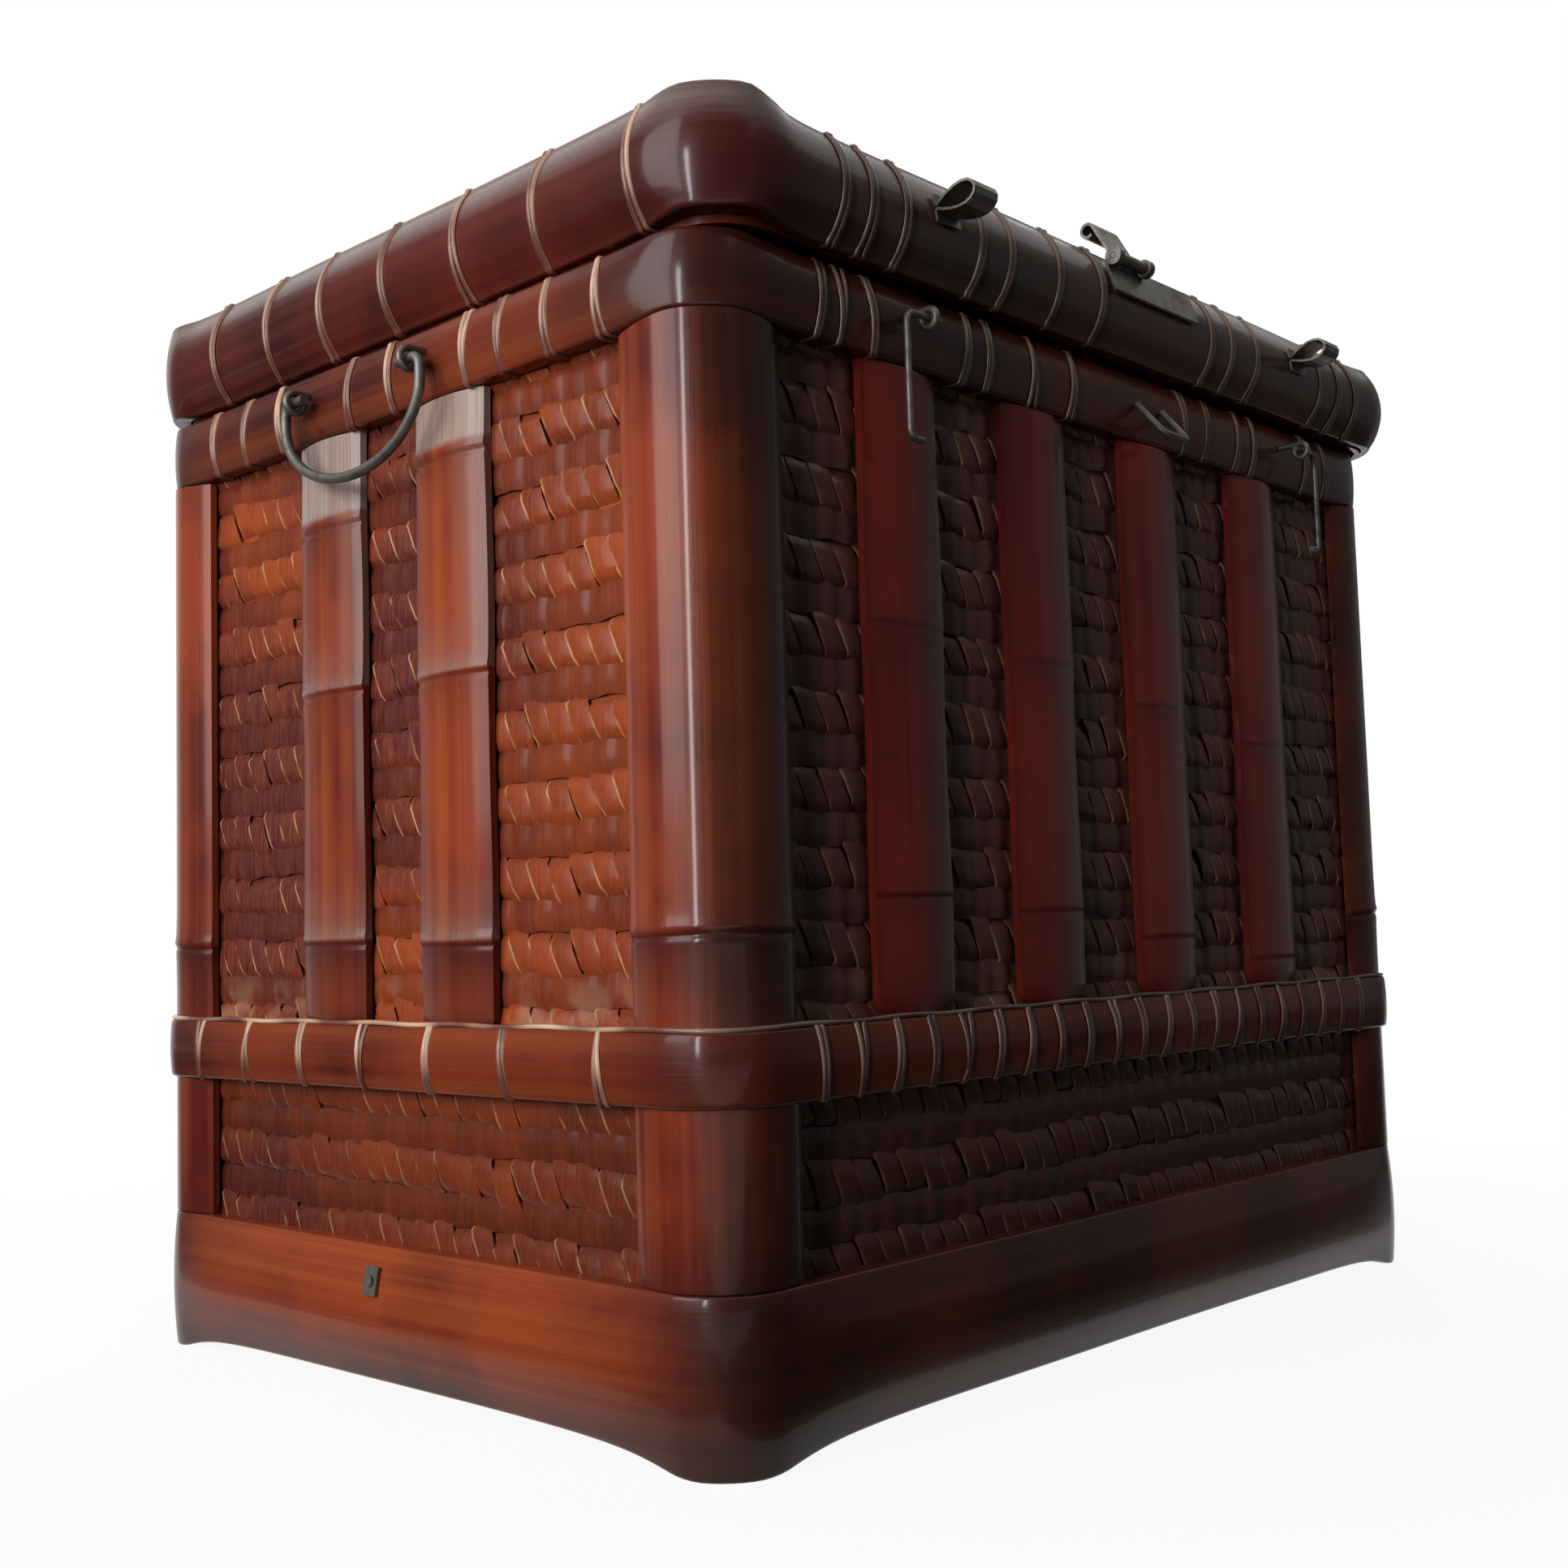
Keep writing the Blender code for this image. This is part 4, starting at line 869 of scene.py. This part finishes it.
move_to(edge_strand, places, level + EDGE_HALF_HEIGHT * np.sin(turn))
mark(edge_strand, "tone", 0.75 + 0.35 * ripple(along, 17))
mark(edge_strand, "rub_and_highlight", np.clip(0.45 + 0.75 * ripple(along, 13) * ripple(along, 31), 0.08, 1))
close_up(edge_strand, STRAND_SHARP)
settle(edge_strand, rattan_finish, "chest", "plain_bamboo")

# A drop handle hangs on each end: a bow of thick iron wire whose ends turn in through two wire eyes. An eye
# is bent cold round a peg, and its stem goes into the rim.
RIM_LEVEL = 0.3999
EYE_WIRE = 0.0030
EYE_TURN = math.radians(285)
EYE_STEPS = 28
EYE_PLAY = 0.0005
PEG_STEPS = 8
WIRE_SHARP = 60
BAIL_WIRE = 0.0042
BAIL_STANDOFF = 0.0170
BAIL_Y = CHEST.y + 0.0065
BAIL_EYES = 0.040
BAIL_END = 0.033
BAIL_SIDE = 0.047
BAIL_SHOULDER = -0.009
BAIL_DROP = 0.029
BAIL_BEND = 0.0045
BAIL_STEPS = 30

# Old iron, dull from handling: dark grey, with brown rust in spots about 7 mm apart.
iron_finish, tree, shader, place = start_finish("old_dull_iron", Metallic=0.8)
rust = add(tree, "TexNoise", {"Vector": place, "Scale": 140, "Detail": 5, "Roughness": 0.65})
rusty = add(tree, "MapRange", {"Value": rust, "From Min": 0.48, "From Max": 0.66, "To Max": 0.8})
colour = add(tree, "Mix", {0: rusty, 6: linear("#6A6762"), 7: linear("#4A3A2E")}, data_type="RGBA")
vary_finish(tree, shader, colour, (rust, 0.35, 0.65), (rust, 0.3, 0.0004))


def bent(points, radius):
    """The line through the points with each corner bent round a peg."""
    places = [Vector(point) for point in points]
    line = [places[0]]
    for before, corner, after in zip(places, places[1:], places[2:]):
        back = (before - corner).normalized()
        on = (after - corner).normalized()
        half = back.angle(on) / 2
        middle = corner + (back + on).normalized() * (radius / math.sin(half))
        start = corner + back * (radius / math.tan(half)) - middle
        turn = start.rotation_difference(corner + on * (radius / math.tan(half)) - middle)
        angles = [turn.angle * n / PEG_STEPS for n in range(PEG_STEPS + 1)]
        line += [middle + Matrix.Rotation(angle, 3, turn.axis) @ start for angle in angles]
    return [*line, places[-1]]


def iron_wire(name, line, diameter, body, node):
    """A round wire along a line of places."""
    bpy.ops.curve.primitive_nurbs_path_add()
    wire = bpy.context.object
    wire.name = name
    wire.data.splines.clear()
    spline = wire.data.splines.new("POLY")
    spline.points.add(len(line) - 1)
    for point, spot in zip(spline.points, line):
        point.co = (*spot, 1)
    wire.data.bevel_depth = diameter / 2
    wire.data.bevel_resolution = 4
    wire.data.use_fill_caps = True
    bpy.ops.object.convert(target="MESH")
    close_up(wire, WIRE_SHARP)
    settle(wire, iron_finish, body, "dark_iron", node)


def face_out(side, rise):
    """How far a band's face stands out at a height over its middle."""
    radius = culm_radius(*side)
    return side[3] - radius + math.sqrt(radius**2 - rise**2)


def iron_eye(name, centre, outward, standoff, wire):
    """A wire eye whose stem goes into the rim."""
    loop = wire / 2 + EYE_PLAY + EYE_WIRE / 2
    stem = standoff - face_out(RIM["side"], loop)
    turns = [math.pi / 2 - EYE_TURN * n / EYE_STEPS for n in range(EYE_STEPS + 1)]
    side = [(-stem, loop)] + [(loop * math.cos(t), loop * math.sin(t)) for t in turns]
    line = [Vector(centre) + Vector(outward) * out + Vector((0, 0, up)) for out, up in side]
    iron_wire(name.replace("eye", "ring"), line, EYE_WIRE, "chest", name)


arm = bent([(0, BAIL_END, 0), (0, BAIL_SIDE, 0), (0, BAIL_SIDE, BAIL_SHOULDER)], BAIL_BEND)
turns = np.linspace(0, math.pi, BAIL_STEPS)[1:-1]
bow = [Vector((0, BAIL_SIDE * math.cos(t), BAIL_SHOULDER - BAIL_DROP * math.sin(t))) for t in turns]
other = [Vector((0, -point.y, point.z)) for point in reversed(arm)]
for name, side in (("left", -1), ("right", 1)):
    pivot = Vector((side * (CHEST.x + SIDE_X + CORNER + BAIL_STANDOFF), BAIL_Y, RIM_LEVEL))
    for at, y in (("front", -BAIL_EYES), ("back", BAIL_EYES)):
        spot = pivot + Vector((0, y, 0))
        iron_eye(f"{name}_handle_eye_{at}", spot, (side, 0, 0), BAIL_STANDOFF, BAIL_WIRE)
    line = [pivot + point for point in arm + bow + other]
    iron_wire(f"{name}_drop_handle", line, BAIL_WIRE, f"{name}_handle", f"{name}_bail")

# Two hooks of thin iron wire hang on the front of the rim, each in an eye of its own. A hook is bent square
# at its top and its tip, and swings up to the loop on the lid.
HOOK_X = 0.143
HOOK_WIRE = 0.0026
HOOK_STANDOFF = 0.0210
HOOK_END = 0.006
HOOK_SIDE = 0.013
HOOK_DROP = 0.047
HOOK_BEND = 0.0035
for name, side in (("left", -1), ("right", 1)):
    pivot = Vector((side * HOOK_X, WALL_LOW.y - HOOK_STANDOFF, RIM_LEVEL))
    iron_eye(f"{name}_hook_eye", pivot, (0, -1, 0), HOOK_STANDOFF, HOOK_WIRE)
    line = [(-side * HOOK_END, 0, 0), (side * HOOK_SIDE, 0, 0), (side * HOOK_SIDE, 0, -HOOK_DROP),
            (side * HOOK_END, 0, -HOOK_DROP)]
    line = [pivot + point for point in bent(line, HOOK_BEND)]
    iron_wire(f"{name}_wire_hook", line, HOOK_WIRE, f"{name}_latch", f"{name}_hook")

# Two wire hinges carry the lid at the back. A loop of iron wire comes out of the lid's band and down through
# an eye in the rim, and turns in it.
HINGE_X = 0.130
HINGE_WIRE = 0.0032
HINGE_STANDOFF = 0.0215
HINGE_HALF = 0.010
HINGE_RISE = 0.030
HINGE_BEND = 0.0040
LID_LEVEL = (LID["side"][0] + LID["side"][1]) / 2
top = RIM_LEVEL + HINGE_RISE
face = LID_MIDDLE.y + SIDE_Y + CORNER + face_out(LID["side"], top - LID_LEVEL)
for name, side in (("left", -1), ("right", 1)):
    pivot = Vector((side * HINGE_X, WALL_HIGH.y + HINGE_STANDOFF, RIM_LEVEL))
    iron_eye(f"{name}_hinge_eye", pivot, (0, 1, 0), HINGE_STANDOFF, HINGE_WIRE)
    view = [(face, top), (pivot.y, top), (pivot.y, pivot.z)]
    line = [(pivot.x - HINGE_HALF, y, z) for y, z in view]
    line += [(pivot.x + HINGE_HALF, y, z) for y, z in reversed(view)]
    iron_wire(f"{name}_hinge_wire", bent(line, HINGE_BEND), HINGE_WIRE, "lid", f"{name}_hinge_loop")

# The hasp's staple is a square loop of iron wire on the front of the rim. Both its ends go into the rim, and
# its bow droops.
STAPLE_WIRE = 0.0030
STAPLE_LEFT = 0.013
STAPLE_RIGHT = 0.033
STAPLE_REACH = 0.020
STAPLE_DROOP = math.radians(50)
STAPLE_BEND = 0.004
root = WALL_LOW.y - RIM["side"][3] - math.sin(STAPLE_DROOP) * STAPLE_WIRE / 2
tip = root - STAPLE_REACH * math.cos(STAPLE_DROOP)
low = RIM_LEVEL - STAPLE_REACH * math.sin(STAPLE_DROOP)
line = [(STAPLE_LEFT, root, RIM_LEVEL), (STAPLE_LEFT, tip, low), (STAPLE_RIGHT, tip, low),
        (STAPLE_RIGHT, root, RIM_LEVEL)]
iron_wire("hasp_loop", bent(line, STAPLE_BEND), STAPLE_WIRE, "chest", "hasp_staple")

# The hasp's leaf and tongue, the lid's loops and the clips on the plinth are thin iron strip, cut, bent and
# nailed on. They and the hasp's pin show as their solids are, in the same old iron as the wire.
paint(iron_finish, "hasp_leaf", "hasp_pin", "hasp_tongue", "left_lid_loop", "right_lid_loop",
      "left_plinth_clip", "right_plinth_clip")

# The floor is a sheet of white paper, far wider than the picture. The eye and the gloss see it white, greyed
# a little near the chest by a painted shadow, with its real shadow faint there as well. For all other light
# it is dark grey, so that it throws little light up on the bands.
FLOOR_SIZE = 16
PAINTED_SHADOW = (0.32, 0.75)
bpy.ops.mesh.primitive_grid_add(x_subdivisions=2, y_subdivisions=2, size=FLOOR_SIZE)
floor = bpy.context.object
floor.name = "floor"


def bare_tree(owner):
    """The nodes of a new material or world, emptied."""
    owner.use_nodes = True
    owner.node_tree.nodes.clear()
    return owner.node_tree


def watched(tree, path):
    """Tells the rays of the eye, of gloss and of glass from all others."""
    either = add(tree, "Math", {0: path.outputs["Is Camera Ray"], 1: path.outputs["Is Glossy Ray"]},
                 operation="MAXIMUM")
    return add(tree, "Math", {0: either, 1: path.outputs["Is Transmission Ray"]}, operation="MAXIMUM")


floor_paint = bpy.data.materials.new("white_paper")
tree = bare_tree(floor_paint)
path = add(tree, "LightPath")
far = add(tree, "VectorMath", {0: add(tree, "TexCoord").outputs["Object"]}, operation="LENGTH")
# Painted shadow: near the chest the paper glows a little less white.
bright = add(tree, "MapRange", {"Value": far, "From Min": PAINTED_SHADOW[0], "From Max": PAINTED_SHADOW[1],
                                "To Min": 0.92, "To Max": 1.0})
most = add(tree, "Math", {0: watched(tree, path), 1: bright}, operation="MULTIPLY")
shade = add(tree, "Mix", {0: path.outputs["Is Camera Ray"], 6: linear("#383838"), 7: linear("#F4F4F4")},
            data_type="RGBA")
paper = add(tree, "BsdfDiffuse", {"Color": shade})
white = add(tree, "Emission", {"Color": (1, 1, 1, 1), "Strength": 1.0})
blend = add(tree, "MixShader", {0: most, 1: paper, 2: white})
add(tree, "OutputMaterial", {"Surface": blend})
floor.data.materials.append(floor_paint)

# The room round the chest is white to the eye and in the gloss. Its own light is faint, so the lamps make the
# light and the shade.
ROOM_LIGHT = 0.035
world = bpy.data.worlds.new("white_room")
bpy.context.scene.world = world
tree = bare_tree(world)
path = add(tree, "LightPath")
level = add(tree, "MapRange", {"Value": watched(tree, path), "To Min": ROOM_LIGHT, "To Max": 1.0})
sky = add(tree, "Background", {"Color": (1, 1, 1, 1), "Strength": level})
add(tree, "OutputWorld", {"Surface": sky})


# Light falls from the left. A wide window lights the left end, a low narrow one lights the near corner, and a
# lamp behind lightens the far sides.
def soft_lamp(name, spot, target, width, height, watts):
    """A soft box that faces a place."""
    data = bpy.data.lights.new(name, "AREA")
    data.shape = "RECTANGLE"
    data.size = width
    data.size_y = height
    data.energy = watts
    lamp = bpy.data.objects.new(name, data)
    lamp.location = spot
    lamp.rotation_euler = (Vector(target) - Vector(spot)).to_track_quat("-Z", "Y").to_euler()
    bpy.context.scene.collection.objects.link(lamp)


soft_lamp("window", (-1.75, 0.30, 0.90), (0, 0.05, 0.25), 1.2, 1.2, 25)
soft_lamp("low_window", (-1.90, -0.60, 0.60), (0, -0.19, 0.30), 0.14, 0.8, 13)
soft_lamp("back_fill", (1.5, 1.3, 1.2), (0, 0, 0.2), 1.4, 1.2, 36)

# Cards stand round the camera's side, out of the picture, and keep the white room out of the lacquer. Two
# more lie on the floor and keep its white out of the lower bands. Only the gloss shows them: the standing
# ones as an even grey, and the lying ones nearly black.
card_paint = {}
for tint, strength in (("grey", 0.20), ("dark", 0.06)):
    card_paint[tint] = bpy.data.materials.new(f"{tint}_card")
    tree = bare_tree(card_paint[tint])
    glow = add(tree, "Emission", {"Color": (1, 1, 1, 1), "Strength": strength})
    add(tree, "OutputMaterial", {"Surface": glow})


def lay_card(name, width, height, spot, turn, standing):
    """A card that is seen in reflections alone."""
    card = lay_grid(name, 2, 2)
    card.location = spot
    card.rotation_euler = (math.radians(90) if standing else 0, 0, math.radians(turn))
    card.scale = (width, height, 1)
    card.visible_camera = False
    card.visible_diffuse = False
    card.visible_shadow = False
    card.data.materials.append(card_paint["grey" if standing else "dark"])


lay_card("left_card", 4.4, 3.0, (-2.4, 2.4, 1.5), 225, True)
lay_card("near_card", 4.8, 3.0, (-2.2, -2.2, 1.5), -45, True)
lay_card("front_card", 4.6, 2.2, (1.3, -2.1, 1.1), 40, True)
lay_card("right_card", 3.0, 2.2, (3.2, 0.9, 1.1), 90, True)
lay_card("left_floor_card", 2.6, 2.6, (-1.60, 1.0, 0.003), 0, False)
lay_card("front_floor_card", 3.2, 2.6, (1.2, -1.50, 0.003), 0, False)

# The photograph was taken from low down off the front left corner. The camera was tipped up a little and
# rolled to one side, and its place, angles and lens were fitted to the chest's edges.
CAMERA_PLACE = (-0.6619, CHEST.y - 0.6038, 0.1779)
CAMERA_ANGLES = (46.881, 4.493, 1.648)
SENSOR = 36
LENS = 41.87
yaw, pitch, roll = (math.radians(angle) for angle in CAMERA_ANGLES)
ahead = Vector((math.sin(yaw) * math.cos(pitch), math.cos(yaw) * math.cos(pitch), math.sin(pitch)))
level = Vector((math.cos(yaw), -math.sin(yaw), 0))
down = ahead.cross(level)
right = math.cos(roll) * level + math.sin(roll) * down
below = math.cos(roll) * down - math.sin(roll) * level
camera = bpy.data.objects.new("camera", bpy.data.cameras.new("camera"))
bpy.context.scene.collection.objects.link(camera)
camera.data.sensor_width = SENSOR
camera.data.lens = LENS
camera.data.clip_start = 0.01
turned = Matrix((right, -below, -ahead)).transposed().to_4x4()
camera.matrix_world = Matrix.Translation(CAMERA_PLACE) @ turned
bpy.context.scene.camera = camera
bpy.context.scene.view_settings.view_transform = "Standard"
